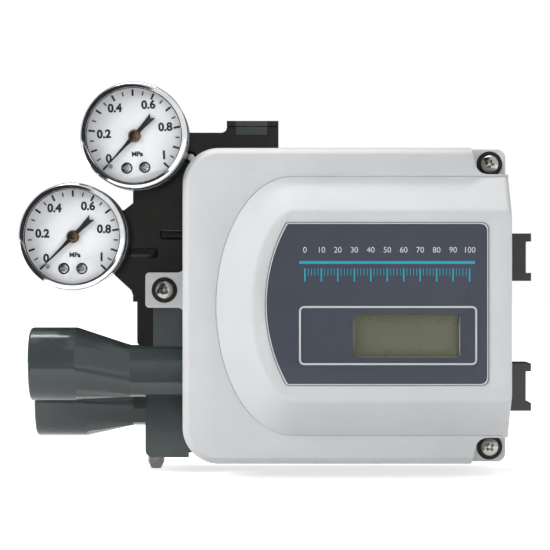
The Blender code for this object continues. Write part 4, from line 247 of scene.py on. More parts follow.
# Colours, as linear red, green and blue
GREY = (0.62, 0.63, 0.64)
SLATE = (0.053, 0.066, 0.066)
BLACK = (0.014, 0.015, 0.012)
PANEL_INK = (0.055, 0.064, 0.086)
LCD_OLIVE = (0.140, 0.153, 0.092)
LCD_OLIVE_DARK = (0.130, 0.142, 0.084)
# Painted shade of the display's frame: the browner colour at its edge
LCD_PAINTED_SHADE = (0.092, 0.090, 0.045)

# Patches of another shade: the middle and half size of a box, and the colour in it
EARS = ((0.0760, -0.03, 0.0), (0.0100, 0.04, 0.08), (0.034, 0.035, 0.029))
PLATE = ((-0.0380, -0.044, 0.0737), (0.0065, 0.002, 0.0031), (0.052, 0.062, 0.062))

# The conduits' rings that stay crisp: how far each is from their left end, and the edge's width
CREASE = {"reach": (0.0194, 0.02165, 0.0416), "slack": 0.00008, "width": 0.00025}

# Angles in degrees: faces within the first merge, edges past the second are rounded, and
# shading breaks past the third; then the first two for the kept solids
MERGE_ANGLE = 2
SOFT_ANGLE = 28
SMOOTH_ANGLE = 40
KEPT_MERGE_ANGLE = 1.5
KEPT_SOFT_ANGLE = 32

# Solids that are kept, by finish: the width of their edges' rounding, and their names
KEPT = {
    "slate": (0.0005, ("main_housing",)),
    "black": (0.0004, ("pneumatic_block", "pilot_cover")),
    "steel": (0.0002, (
        "block_screw_1", "block_screw_2", "pilot_cover_screw_1", "pilot_cover_screw_2",
        "manual_screw", "feedback_shaft", "feedback_lever", "lever_washer", "lever_nut",
        "sensor_bracket", "motor_yoke", "flapper", "conduit_plug",
        *[f"terminal_screw_{number}" for number in (1, 2, 3, 4)])),
    "dull_steel": (0.0002, ("earth_screw_outside",)),
    "brass": (0.00015, (
        "restrictor_plug", "drive_gear", "sensor_pinion", "nozzle", "earth_screw_inside",
        "pilot_poppet", *[name + "_movement" for name in GAUGES])),
    "bronze": (0.0002, ("exhaust_silencer", "shaft_bush")),
    "copper": (0, ("motor_coil",)),
    "ink": (0.0003, ("controller_case", "angle_sensor", "motor_magnet")),
    "nylon": (0.0002, ("terminal_block", "up_button", "down_button", "enter_button")),
    "board": (0, ("circuit_board",)),
    "rubber": (0, ("cover_gasket", "block_gasket")),
}


def new_object(name, data):
    obj = bpy.data.objects.new(name, data)
    bpy.context.scene.collection.objects.link(obj)
    return obj


def from_bmesh(name, bm):
    bmesh.ops.remove_doubles(bm, verts=bm.verts, dist=1e-6)
    bmesh.ops.recalc_face_normals(bm, faces=bm.faces)
    mesh = bpy.data.meshes.new(name)
    bm.to_mesh(mesh)
    bm.free()
    return new_object(name, mesh)


def arc(centre, radius, start, end, steps=12):
    """Points on an arc, in degrees; a pair of radii makes an ellipse."""
    across, up = radius if isinstance(radius, tuple) else (radius, radius)
    points = []
    for step in range(steps + 1):
        angle = math.radians(start + (end - start) * step / steps)
        points.append((centre[0] + across * math.cos(angle), centre[1] + up * math.sin(angle)))
    return points


def rounded(left, right, low, high, radii, steps=8):
    """A rectangle with rounded corners: bottom left, bottom right, top right, top left."""
    if not isinstance(radii, tuple):
        radii = (radii,) * 4
    corners = ((left, low, 1, 1, 180), (right, low, -1, 1, 270),
               (right, high, -1, -1, 0), (left, high, 1, -1, 90))
    points = []
    for (x, z, inward_x, inward_z, start), radius in zip(corners, radii):
        centre = (x + inward_x * radius, z + inward_z * radius)
        points += arc(centre, radius, start, start + 90, steps)
    return points


def rounded_area(area, radius, steps=8, inset=0.0):
    """A rounded rectangle from a table of its four sides."""
    return rounded(area["left"] + inset, area["right"] - inset, area["low"] + inset,
                   area["high"] - inset, radius, steps)


def soft_corners(outline, radius, steps=6):
    """An outline with each corner that turns by more than a little rounded off."""
    points = []
    count = len(outline)
    for index, corner in enumerate(outline):
        here = Vector(corner)
        before = Vector(outline[index - 1]) - here
        after = Vector(outline[(index + 1) % count]) - here
        if before.length < 1e-9 or after.length < 1e-9 or before.angle(after) > math.radians(150):
            points.append(corner)
            continue
        reach = min(radius, before.length * 0.45, after.length * 0.45)
        start, end = here + before.normalized() * reach, here + after.normalized() * reach
        for step in range(steps + 1):
            t = step / steps
            points.append(tuple(start * (1 - t) ** 2 + here * 2 * t * (1 - t) + end * t * t))
    return points


def prism(name, outline, start, end, holes=()):
    """A flat outline in X and Z, drawn out along Y."""
    curve = bpy.data.curves.new(name, "CURVE")
    curve.dimensions = "2D"
    curve.fill_mode = "BOTH"
    curve.extrude = abs(end - start) / 2
    for loop in (outline, *holes):
        spline = curve.splines.new("POLY")
        spline.points.add(len(loop) - 1)
        for point, (across, up) in zip(spline.points, loop):
            point.co = (across, up, 0, 1)
        spline.use_cyclic_u = True
    flat = bpy.data.objects.new(name, curve)
    mesh = bpy.data.meshes.new_from_object(flat)
    bpy.data.objects.remove(flat)
    bpy.data.curves.remove(curve)
    upright = Matrix(((1, 0, 0), (0, 0, -1), (0, 1, 0))).to_4x4()
    mesh.transform(Matrix.Translation((0, (start + end) / 2, 0)) @ upright)
    bm = bmesh.new()
    bm.from_mesh(mesh)
    bpy.data.meshes.remove(mesh)
    return from_bmesh(name, bm)


def loft(name, sections, closed=False):
    """A skin over rings with as many points each, capped at both ends unless it is closed."""
    bm = bmesh.new()
    rings = [[bm.verts.new(point) for point in section] for section in sections]
    count = len(rings[0])
    for near, far in zip(rings, rings[1:] + rings[:closed]):
        for index in range(count):
            after = (index + 1) % count
            bm.faces.new((near[index], near[after], far[after], far[index]))
    if not closed:
        bm.faces.new(rings[0])
        bm.faces.new(rings[-1])
    return from_bmesh(name, bm)


def turned(name, centre, profile, sides=96):
    """A shape turned about Y, from points of (radius, Y)."""
    on_axis = profile[0][0] == 0 and profile[-1][0] == 0
    rings = []
    for radius, along in profile:
        ring = arc(centre, max(radius, 1e-7), 0, 360, sides)[:-1]
        rings.append([(x, along, z) for x, z in ring])
    return loft(name, rings, closed=not on_axis)


def rod(name, centre, start, end, radius):
    return turned(name, centre, [(0, start), (radius, start), (radius, end), (0, end)], 48)


def behind(face, profile):
    """A profile whose second numbers are measured from a face."""
    return [(across, face + along) for across, along in profile]


def box(name, *ranges):
    """A box between two limits on each axis."""
    size = Vector([max(pair) - min(pair) for pair in ranges])
    centre = Vector([sum(pair) / 2 for pair in ranges])
    bm = bmesh.new()
    bmesh.ops.create_cube(bm, size=1.0)
    bmesh.ops.transform(bm, verts=bm.verts, matrix=Matrix.LocRotScale(centre, None, size))
    return from_bmesh(name, bm)


def combine(target, operation, others):
    """Cut or join others, and keep the result as the target's own mesh."""
    for other in others:
        modifier = target.modifiers.new("combine", "BOOLEAN")
        modifier.operation = operation
        modifier.object = other
    bake(target)
    for other in others:
        bpy.data.objects.remove(other)
    return target


def cut(target, *others):
    return combine(target, "DIFFERENCE", others)


def join(target, *others):
    return combine(target, "UNION", others)


def bake(obj):
    """Turn an object's modifiers into its mesh."""
    bpy.context.view_layer.update()
    graph = bpy.context.evaluated_depsgraph_get()
    mesh = bpy.data.meshes.new_from_object(obj.evaluated_get(graph))
    obj.modifiers.clear()
    old = obj.data
    obj.data = mesh
    bpy.data.meshes.remove(old)
    return obj


def tidy_mesh(obj):
    """Merge flat neighbours, so that a bevel has clean faces to work on."""
    bm = bmesh.new()
    bm.from_mesh(obj.data)
    bmesh.ops.remove_doubles(bm, verts=bm.verts, dist=SAME)
    bmesh.ops.dissolve_limit(bm, angle_limit=math.radians(MERGE_ANGLE), verts=bm.verts,
                              edges=bm.edges)
    bm.to_mesh(obj.data)
    bm.free()
    return obj


def soften(obj, width):
    """Round the edges that turn by more than an angle, and smooth what is left."""
    modifier = obj.modifiers.new("soft_edges", "BEVEL")
    modifier.width = width
    modifier.segments = 2
    modifier.limit_method = "ANGLE"
    modifier.angle_limit = math.radians(SOFT_ANGLE)
    modifier.miter_outer = "MITER_ARC"
    bake(obj)
    return smooth_faces(obj)


def smooth_faces(obj, angle=SMOOTH_ANGLE):
    obj.data.shade_smooth()
    obj.data.set_sharp_from_angle(angle=math.radians(angle))
    return obj


def finish_piece(obj, body, material, slot, *nodes):
    """Give a piece its material and its body, and hide the solids that it stands for."""
    obj.data.materials.clear()
    obj.data.materials.append(material)
    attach(obj, body)
    if nodes:
        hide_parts(*nodes)
    return obj


class Nodes:
    """A material and the nodes that feed its shader."""

    def __init__(self, name, colour, roughness, metallic=0.0, gloss=0.5):
        self.material = bpy.data.materials.new(name)
        self.material.use_nodes = True
        self.tree = self.material.node_tree
        self.shader = self.tree.nodes["Principled BSDF"]
        self.shader.inputs["Base Color"].default_value = (*colour, 1)
        self.shader.inputs["Roughness"].default_value = roughness
        self.shader.inputs["Metallic"].default_value = metallic
        self.shader.inputs["Specular IOR Level"].default_value = gloss
        self.place = self.add("ShaderNodeTexCoord").outputs["Object"]

    def add(self, kind, inputs=None, **settings):
        node = self.tree.nodes.new(kind)
        for name, value in settings.items():
            setattr(node, name, value)
        for key, value in (inputs or {}).items():
            if isinstance(value, bpy.types.NodeSocket):
                self.tree.links.new(value, node.inputs[key])
            else:
                node.inputs[key].default_value = value
        return node

    def noise(self, scale, detail=3.0, rough=0.5):
        """Noise between 0 and 1, at a number of waves a metre."""
        texture = self.add("ShaderNodeTexNoise", {
            "Vector": self.place, "Scale": scale, "Detail": detail, "Roughness": rough})
        return texture.outputs["Fac"]

    def spread(self, value, low, high, start=0.3, end=0.7):
        """Map a value from one range to another."""
        return self.add("ShaderNodeMapRange", {
            "Value": value, "From Min": start, "From Max": end, "To Min": low,
            "To Max": high}).outputs["Result"]

    def blend(self, share, first, second):
        """Mix two colours by a share."""
        first, second = [value if isinstance(value, bpy.types.NodeSocket) else (*value, 1)
                         for value in (first, second)]
        mix = self.add("ShaderNodeMix", {0: share, 6: first, 7: second}, data_type="RGBA")
        return mix.outputs[2]

    def depth(self, middle, half):
        """How far outside a box a point is, by its middle and half size; inside is under 0."""
        value = self.place
        for operation, other in (("SUBTRACT", middle), ("ABSOLUTE", None), ("SUBTRACT", half)):
            inputs = {0: value} if other is None else {0: value, 1: other}
            value = self.add("ShaderNodeVectorMath", inputs, operation=operation).outputs["Vector"]
        parts = self.add("ShaderNodeSeparateXYZ", {"Vector": value}).outputs
        most = self.add("ShaderNodeMath", {0: parts["X"], 1: parts["Y"]}, operation="MAXIMUM")
        return self.add("ShaderNodeMath", {0: most.outputs["Value"], 1: parts["Z"]},
                        operation="MAXIMUM").outputs["Value"]

    def drift(self, scale, detail, low, high):
        """A colour that changes between two, at a number of waves a metre."""
        return self.blend(self.spread(self.noise(scale, detail), 0, 1), low, high)

    def polish(self, scale, detail, low, high):
        """A roughness that changes between two, at a number of waves a metre."""
        self.set("Roughness", self.spread(self.noise(scale, detail), low, high))

    def set(self, name, value):
        self.tree.links.new(value, self.shader.inputs[name])

    def bump(self, height, strength, distance):
        """Raise the surface by a height, over any bump that is already there."""
        node = self.add("ShaderNodeBump", {
            "Height": height, "Strength": strength, "Distance": distance})
        socket = self.shader.inputs["Normal"]
        if socket.is_linked:
            self.tree.links.new(socket.links[0].from_socket, node.inputs["Normal"])
        self.tree.links.new(node.outputs["Normal"], socket)


def paint(name, colour, roughness, grain, drift, gloss=0.5, patch=None):
    """Paint on a die casting: orange peel, fine grain and a drift of tone.

    A patch is the middle and half size of a box in which another colour shows."""
    nodes = Nodes(name, colour, roughness, gloss=gloss)
    darker = tuple(value * (1 - drift) for value in colour)
    tone = nodes.drift(55, 4, darker, colour)
    if patch:
        middle, half, shade = patch
        share = nodes.spread(nodes.depth(middle, half), 1, 0, -PRINT, PRINT)
        tone = nodes.blend(share, tone, shade)
    nodes.set("Base Color", tone)
    nodes.polish(160, 4, roughness - 0.03, roughness + 0.03)
    nodes.bump(nodes.noise(1400, 2), grain, 0.00015)
    nodes.bump(nodes.noise(330, 2), grain * 0.6, 0.0004)
    return nodes.material


def metal(name, colour, roughness, marks=0.12, scale=900):
    """Bare metal, with fine tool marks and a changing polish."""
    nodes = Nodes(name, colour, roughness, 1.0)
    dull = tuple(value * 0.78 for value in colour)
    nodes.set("Base Color", nodes.drift(150, 4, dull, colour))
    nodes.polish(700, 3, roughness * 0.75, roughness * 1.35)
    nodes.bump(nodes.noise(scale, 3, 0.6), marks, 0.0001)
    return nodes.material


def plastic(name, colour, roughness, grain=0.08, scale=1800, drift=0.06, gloss=0.5):
    """Moulded plastic or printed film, with a fine spark-eroded grain."""
    nodes = Nodes(name, colour, roughness, gloss=gloss)
    darker = tuple(value * (1 - drift) for value in colour)
    nodes.set("Base Color", nodes.drift(90, 3, darker, colour))
    nodes.polish(260, 3, roughness - 0.04, roughness + 0.05)
    nodes.bump(nodes.noise(scale, 2), grain, 0.0001)
    return nodes.material


def glass(name, tint, roughness):
    """A thin clear window: mostly see-through, with a sharp reflection."""
    nodes = Nodes(name, tint, roughness)
    nodes.shader.inputs["Alpha"].default_value = 0.03
    nodes.polish(60, 3, roughness, roughness + 0.05)
    return nodes.material


def rubber(name):
    nodes = Nodes(name, (0.015, 0.015, 0.016), 0.75)
    nodes.polish(500, 3, 0.65, 0.9)
    nodes.bump(nodes.noise(2200, 2), 0.3, 0.0001)
    return nodes.material


def winding(name):
    """Enamelled copper wire wound in layers."""
    nodes = Nodes(name, (0.50, 0.19, 0.08), 0.35, 0.8)
    wave = nodes.add("ShaderNodeTexWave", {
        "Vector": nodes.place, "Scale": 800.0, "Distortion": 1.0, "Detail": 1.0},
        bands_direction="Z")
    nodes.bump(wave.outputs["Fac"], 0.8, 0.0002)
    nodes.set("Base Color", nodes.blend(
        wave.outputs["Fac"], (0.22, 0.07, 0.03), (0.60, 0.24, 0.10)))
    return nodes.material


def display(name):
    """The liquid crystal's olive ground, with a painted shade that turns it browner towards its
    frame, and a painted glow that stands in for part of the lamp light.
    """
    nodes = Nodes(name, LCD_OLIVE, 0.30)
    middle, half = LCD_UNSHADED_BOX
    tone = nodes.drift(35, 2, LCD_OLIVE_DARK, LCD_OLIVE)
    # Painted shade of the frame: the ground turns browner outside the unshaded box
    share = nodes.spread(nodes.depth(middle, half), 0, 1, -LCD_SHADE_FADE, 0)
    ground = nodes.blend(share, tone, LCD_PAINTED_SHADE)
    # Painted glow: a share of the ground is taken out of the lit colour and given as emission
    nodes.set("Base Color", nodes.blend(LCD_PAINTED_GLOW, ground, (0, 0, 0)))
    nodes.set("Emission Color", ground)
    nodes.shader.inputs["Emission Strength"].default_value = LCD_PAINTED_GLOW * LCD_DIMMING
    nodes.polish(300, 2, 0.26, 0.36)
    return nodes.material


def cover_outline(inset, steps=14):
    left_round = max(LEFT_ROUND + COVER_SIDE - SIDE - inset, LEAST_ROUND)
    right_round = max(RIGHT_ROUND - inset, LEAST_ROUND)
    radii = (left_round, right_round, right_round, left_round)
    return rounded(-COVER_SIDE + inset, COVER_SIDE - inset, -COVER_TOP + inset,
                   COVER_TOP - inset, radii, steps)


def tab_outline():
    """The screw tab on the cover's left, with a fillet above and below its root."""
    edge, soft, end = -COVER_SIDE, TAB_FILLET, TAB_CORNER
    outline = [(edge + SINK, TAB_LOW - soft), (edge, TAB_LOW - soft)]
    outline += arc((edge - soft, TAB_LOW - soft), soft, 0, 90, 8)
    outline += arc((TAB_LEFT + end, TAB_LOW + end), end, 270, 180, 8)
    outline += arc((TAB_LEFT + end, TAB_HIGH - end), end, 180, 90, 8)
    outline += arc((edge - soft, TAB_HIGH + soft), soft, 270, 360, 8)
    return outline + [(edge + SINK, TAB_HIGH + soft)]


def dome_section(share, y, inset=0.0, steps=56):
    """The dome's outline at a share of the way from its base to its crown."""
    half, radius, centre = (DOME_BASE[key] + share * (DOME_TOP[key] - DOME_BASE[key])
                            for key in ("half", "radius", "centre"))
    right = DOME_RIGHT - inset
    half -= inset
    corner = DOME_CORNER
    outline = arc((centre, 0), (radius - inset, half), 90, 270, steps)
    outline += arc((right - corner, -half + corner), corner, 270, 360, 6)
    outline += arc((right - corner, half - corner), corner, 0, 90, 6)
    return [(x, y, z) for x, z in outline]


def dome_path(foot, edge, steps=7):
    """Shares and depths of the dome's sections, with a concave foot and a rounded crown edge."""
    path = [(-foot, -SINK / DOME_RISE)]
    for (x0, y0), (x1, y1), (x2, y2) in (
            ((-foot, 0), (0, 0), (foot, foot)), ((1 - edge, 1 - edge), (1, 1), (1 + edge, 1))):
        for step in range(steps + 1):
            t = step / steps
            a, b, c = (1 - t) ** 2, 2 * t * (1 - t), t * t
            path.append((a * x0 + b * x1 + c * x2, a * y0 + b * y1 + c * y2))
    return path


def pocket_outline(side, wall=0.0):
    low = POCKET_LOW - wall
    far, beyond = COVER_SIDE + POCKET_PAST, COVER_TOP + POCKET_PAST
    at_dome, at_edge = COVER_SIDE - POCKET_AT_DOME - wall, COVER_SIDE - POCKET_AT_EDGE - wall
    outline = [(at_dome, side * low), (far, side * low), (far, side * beyond),
               (at_edge, side * beyond)]
    return soft_corners(outline, POCKET_ROUND, 8)


def panel_outline(grow=0.0):
    """The name panel's outline; its left edge is a shallow arc."""
    left, right = PANEL["left"] - grow, PANEL["right"] + grow
    low, high = PANEL["low"] - grow, PANEL["high"] + grow
    half, middle = (high - low) / 2, (high + low) / 2
    radius = (half ** 2 + PANEL["bow"] ** 2) / (2 * PANEL["bow"])
    span = math.degrees(math.asin(half / radius))
    side = arc((left + radius, middle), radius, 180 - span, 180 + span, 40)
    return soft_corners(side + [(right, low), (right, high)], PANEL_ROUND, 8)


def window_box(name, grow, front, back):
    return box(name, (WINDOW["left"] - grow, WINDOW["right"] + grow), (front, back),
               (WINDOW["low"] - grow, WINDOW["high"] + grow))


def front_cover(material):
    """The light grey die casting: flange, lofted dome, screw tab and the two corner pockets."""
    path = [(0.0, COVER_BACK)] + behind(FLANGE_FRONT, FLANGE_RIM)
    cover = loft("cover_casting", [[(x, y, z) for x, z in cover_outline(inset)]
                                   for inset, y in path])
    join(cover, prism("tab", tab_outline(), LAND_FRONT, COVER_BACK))
    cut(cover, *[prism("pocket", pocket_outline(side), FLANGE_FRONT - SINK, LAND_FRONT)
                 for side in (1, -1)])
    cut(cover, loft("groove", [dome_section(share, FLANGE_FRONT + along)
                               for share, along in DOME_GROOVE]))
    sections = [dome_section(share, FLANGE_FRONT - rise * DOME_RISE)
                for share, rise in dome_path(DOME_FOOT, DOME_EDGE)]
    join(cover, loft("dome", sections))

    hollow = prism("hollow", cover_outline(WALLS["side"]),
                   FLANGE_FRONT + WALLS["flange"], COVER_BACK + SINK)
    wall = WALLS["pocket"]
    cut(hollow, *[prism("keep", pocket_outline(side, wall), FLANGE_FRONT, COVER_BACK + wall)
                  for side in (1, -1)])
    cut(cover, hollow, loft("inside", [dome_section(share, FLANGE_FRONT - rise * DOME_RISE,
                                                    WALLS["dome"])
                                       for share, rise in DOME_HOLLOW]))
    grow, depth = PANEL_SEAT
    cut(cover, prism("recess", panel_outline(grow), CROWN - SINK, CROWN + depth),
        *[window_box("seat", grow, CROWN - SINK, CROWN + depth)
          for grow, depth in (LENS_SEAT, OPENING)])
    for x, z in SCREWS.values():
        cut(cover, rod("bore", (x, z), LAND_FRONT - SINK, COVER_BACK + SINK, SCREW_BORE),
            rod("seat", (x, z), LAND_FRONT - SINK, LAND_FRONT + SCREW_SEAT["depth"],
                SCREW_SEAT["radius"]))
    tidy_mesh(cover)
    soften(cover, COVER_EDGE)
    return finish_piece(cover, "cover", material, "grey_cover", "front_cover")


def cross_recess(front, depth, reach):
    """The driver's cross in a screw head, tapered to its bottom."""
    blades = []
    for turn in (0, 90):
        sections = []
        for along, half, width in zip((-SINK, 0, depth), (reach, reach, reach * CROSS["end"]),
                                      CROSS["widths"]):
            corners = [(-half, -width), (half, -width), (half, width), (-half, width)]
            if turn:
                corners = [(-v, u) for u, v in corners]
            sections.append([(u, front + along, v) for u, v in corners])
        blades.append(loft("cross", sections))
    return blades


def pan_screw(name, centre, tip, turn):
    """A pan-headed cross-recess screw with a rolled thread under its head."""
    x, z = centre
    seat, head, rise, shank = (SCREW_HEAD[key] for key in ("seat", "radius", "rise", "shank"))
    top = seat - rise
    profile = [(head * across, top + along * rise) for across, along in PAN_HEAD]
    profile.append((shank, seat))
    pitch, core = THREAD["pitch"], shank * THREAD["core"]
    for index in range(int((tip - seat - THREAD["spare"]) / pitch)):
        along = seat + THREAD["start"] + index * pitch
        profile += [(shank, along + THREAD["crest"] * pitch), (core, along + THREAD["root"] * pitch)]
    profile += [(core, tip - THREAD["chamfer"]), (shank * THREAD["point"], tip), (0, tip)]
    screw = turned(name, (0, 0), profile, 48)
    cut(screw, *cross_recess(top, rise * CROSS["depth"], head * CROSS["reach"]))
    screw.data.transform(Matrix.Translation((x, 0, z))
                         @ Matrix.Rotation(math.radians(turn), 4, "Y"))
    return smooth_faces(screw, 32)


def cover_screws(look):
    for name, centre in SCREWS.items():
        screw = pan_screw(name + "_detail", centre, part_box(name)[1].y, SCREW_TURNS[name])
        finish_piece(screw, "cover", look["screw_steel"], "steel", name)
        # A thin dark ring around the head, in its seat
        front, back = HEAD_RING["front"], HEAD_RING["back"]
        ring = turned(name + "_head_ring", centre, [
            (HEAD_RING["inner"], front), (HEAD_RING["outer"] - GAP, front), (HEAD_RING["outer"], front + GAP),
            (HEAD_RING["outer"], back), (HEAD_RING["inner"], back)], 64)
        finish_piece(smooth_faces(ring, 34), "cover", look["rubber"], "rubber")


def text_mesh(name, words, size, spot, turn=0.0, weight=0.0):
    """Plain figures as a thin raised mesh, centred on a spot of the XZ plane facing the front."""
    curve = bpy.data.curves.new(name, "FONT")
    curve.body = words
    curve.size = size
    curve.align_x = "CENTER"
    curve.align_y = "CENTER"
    curve.extrude = PRINT / 2
    curve.offset = weight
    curve.resolution_u = 6
    holder = bpy.data.objects.new(name, curve)
    mesh = bpy.data.meshes.new_from_object(holder)
    bpy.data.objects.remove(holder)
    mesh.transform(Matrix.Translation(spot) @ Matrix.Rotation(-turn, 4, "Y")
                   @ Matrix.Rotation(math.radians(90), 4, "X"))
    return new_object(name, mesh)


def merge(name, objects):
    """One object from several."""
    bm = bmesh.new()
    for obj in objects:
        bm.from_mesh(obj.data)
    mesh = bpy.data.meshes.new(name)
    bm.to_mesh(mesh)
    bm.free()
    for obj in objects:
        bpy.data.objects.remove(obj)
    return new_object(name, mesh)


def tick(x, half, low, back):
    """One printed mark under the scale."""
    return box("tick", (x - half, x + half), (back - PRINT, back), (low, SCALE["tick_high"]))


def name_panel(look):
    """The dark film with a painted highlight along its edge, the frame line, the scale and the tick
    marks.
    """
    film = prism("panel_sheet", panel_outline(), PANEL_FACE, PANEL_BACK,
                 (rounded_area(WINDOW, WINDOW_ROUND, 4),))
    soften(tidy_mesh(film), PANEL_EDGE)
    finish_piece(film, "cover", look["film"], "panel_film", "name_panel")

    print_back = PANEL_FACE - PRINT_LIFT
    # A thin white line on the film just inside its outline: a painted highlight of the recess's edge
    outer, inner = [panel_outline(grow) for grow in PAINTED_EDGE_HIGHLIGHT]
    edge = prism("panel_edge_highlight", outer, print_back - PRINT, print_back, (inner,))
    finish_piece(edge, "cover", look["print_and_highlight_white"], "white_dial")
    outer = rounded_area(FRAME_LINE, FRAME_ROUNDS[0])
    inner = rounded_area(FRAME_LINE, FRAME_ROUNDS[1], inset=FRAME_WIDTH)
    silver = prism("window_frame_line", outer, print_back - FRAME_RISE, print_back, (inner,))
    soften(tidy_mesh(silver), FRAME_EDGE)
    finish_piece(silver, "cover", look["silver_line"], "chrome")

    z, half = SCALE["z"], SCALE["half"]
    bar = prism("scale_line", rounded(SCALE["left"], SCALE["right"], z - half, z + half,
                                           SCALE["round"], 2), print_back - PRINT, print_back)
    figures, ticks = [], [bar]
    count, parts = SCALE["steps"], SCALE["parts"]
    step = (SCALE["right"] - SCALE["left"] - 2 * SCALE["margin"]) / count
    for index in range(count + 1):
        x = SCALE["left"] + SCALE["margin"] + index * step
        figures.append(text_mesh("figure", str(100 // count * index), SCALE["figure"],
                                 (x, print_back - PRINT / 2, SCALE["figure_z"])))
        ticks.append(tick(x, SCALE["tick_half"], SCALE["tick_low"], print_back))
        if index < count:
            ticks += [tick(x + step * part / parts, SCALE["fine_half"], SCALE["tick_middle"],
                           print_back) for part in range(1, parts)]
    finish_piece(merge("scale_figures", figures), "cover", look["print_and_highlight_white"], "white_dial")
    finish_piece(merge("scale_ticks", ticks), "cover", look["print_cyan"], "panel_film")


def window_and_display(look):
    """The lens behind the panel's opening, and the display module on the case."""
    low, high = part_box("window_lens")
    lens = prism("lens_sheet", rounded(low.x, high.x, low.z, high.z, LENS_ROUND, 4),
                 low.y, high.y)
    soften(tidy_mesh(lens), SHEET_EDGE)
    finish_piece(lens, "cover", look["glass"], "clear_lens", "window_lens")

    low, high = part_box("lcd_module")
    module = prism("display_module", rounded(low.x, high.x, low.z, high.z, LCD_ROUND, 3),
                   low.y + LCD_LIFT, high.y)
    soften(tidy_mesh(module), SHEET_EDGE)
    finish_piece(module, "base", look["lcd_edge"], "lcd", "lcd_module")
    rim = LCD_FACE["rim"]
    face = prism("display_face", rounded(
        low.x + LCD_FACE["left"], high.x - LCD_FACE["right"], low.z + rim, high.z - rim,
        LCD_FACE["round"], 4),
        low.y, low.y + LCD_LIFT - LCD_GAP)
    finish_piece(face, "base", look["display"], "lcd")


def gauge_part(name, part):
    """A gauge's centre in X and Z, and the front, back and radius of one of its solids."""
    low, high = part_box(name + part)
    return GAUGES[name][:2], low.y, high.y, (high.z - low.z) / 2


def gauge_case(name, look):
    """The pressed case: a rolled rim, a waist at the back and the turned neck."""
    centre, front, back, radius = gauge_part(name, "_case")
    seat = GAUGE_CASE_RADIUS
    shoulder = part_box(name + "_bezel")[1].y + GAP
    profile = [(seat, front), (seat, shoulder)]
    profile += [(radius - inset, shoulder + along) for inset, along in CASE_WAIST]
    profile.append((radius, back - GAUGE_BACK_ROUND))
    profile += [(radius - GAUGE_BACK_ROUND * (1 - math.cos(math.radians(a))),
                 back - GAUGE_BACK_ROUND * (1 - math.sin(math.radians(a))))
                for a in (15, 30, 45, 60, 75, 90)]
    profile += [(GAUGE_NECK, back), (GAUGE_NECK, back - GAUGE_WALL),
                (seat - GAUGE_WALL, back - GAUGE_WALL), (seat - GAUGE_WALL, front)]
    case = turned(name + "_shell", centre, profile, 144)
    finish_piece(smooth_faces(case, 34), "base", look["case_steel"], "chrome", name + "_case")


def gauge_bezel(name, look):
    """The chromed ring: a lip at the glass, a slope that rounds over to the side, and a skirt."""
    centre, lip, skirt, radius = gauge_part(name, "_bezel")
    wall = GAUGE_CASE_RADIUS + GAP
    inset, rise = BEZEL_CHAMFER
    profile = behind(lip, BEZEL_SLOPE) + [
        (radius, skirt - rise), (radius - inset, skirt), (wall, skirt), (wall, lip + BEZEL_SEAT),
        (GAUGE_OPENING, lip + BEZEL_SEAT)]
    ring = turned(name + "_ring", centre, profile, 160)
    finish_piece(smooth_faces(ring, 36), "base", look["chrome"], "chrome", name + "_bezel")


def dial_marks(name, x, z, tilt):
    """The dial's ticks and its plain figures."""
    marks, figures = [], []
    print_back = DIAL_FACE - PRINT_LIFT
    front = print_back - PRINT
    minor = DIAL["parts"]
    count = DIAL["steps"] * minor
    for index in range(count + 1):
        angle = math.radians(DIAL["start"] - DIAL["sweep"] * index / count + tilt)
        inner, outer, half = DIAL["minor" if index % minor else "major"]
        along = Vector((math.cos(angle), math.sin(angle)))
        across = Vector((-along.y, along.x)) * half
        corners = [along * inner - across, along * outer - across, along * outer + across,
                   along * inner + across]
        marks.append(prism("mark", [(x + p.x, z + p.y) for p in corners], front, print_back))
    for words, across, up in DIAL["figures"]:
        turn = Matrix.Rotation(math.radians(tilt), 2)
        spot = turn @ Vector((across, up))
        size = DIAL["unit_size"] if words == "MPa" else DIAL["figure_size"]
        spot = (x + spot.x, (front + print_back) / 2, z + spot.y)
        figures.append(text_mesh("figure", words, size, spot, math.radians(tilt),
                                 size * DIAL["weight"]))
    return merge(name + "_marks", marks + figures)


def gauge_dial(name, look):
    """The white dial with two screws, a stop pin and its print."""
    (x, z), _, back, radius = gauge_part(name, "_dial")
    tilt = GAUGES[name][2]
    turn = Matrix.Rotation(math.radians(tilt), 2)
    spots = [turn @ Vector((side * DIAL["screw_x"], -DIAL["screw_z"])) for side in (-1, 1)]
    holes = [arc((x, z), DIAL["hub_hole"], 0, 360, 32)[:-1]]
    holes += [arc((x + spot.x, z + spot.y), DIAL["screw_hole"], 0, 360, 32)[:-1] for spot in spots]
    sheet = prism(name + "_plate", arc((x, z), radius, 0, 360, 144)[:-1],
                  DIAL_FACE, back, holes)
    soften(tidy_mesh(sheet), DIAL["edge"])
    finish_piece(sheet, "base", look["dial"], "white_dial", name + "_dial")
    finish_piece(dial_marks(name, x, z, tilt), "base", look["print_black"], "black_plastic")
    screws = []
    radius, past = DIAL_SCREW_FOOT
    half, width = DIAL_SLOT["half"], DIAL_SLOT["half_width"]
    for spot in spots:
        across, up = x + spot.x, z + spot.y
        head = turned("screw", (across, up), behind(DIAL_FACE, DIAL_SCREW) + [
            (radius, back + past), (0, back + past)], 40)
        slot = box("slot", (across - half, across + half),
                   (DIAL_FACE + DIAL_SLOT["front"], DIAL_FACE + DIAL_SLOT["back"]),
                   (up - width, up + width))
        screws.append(cut(head, slot))
    screws = merge(name + "_dial_screws", screws)
    finish_piece(smooth_faces(screws, 30), "base", look["nickel"], "steel")
    spot = turn @ Vector(DIAL["pin"])
    pin = turned(name + "_stop_pin", (x + spot.x, z + spot.y),
                 behind(DIAL_FACE, STOP_PIN), 32)
    finish_piece(smooth_faces(pin, 30), "base", look["nickel"], "steel")


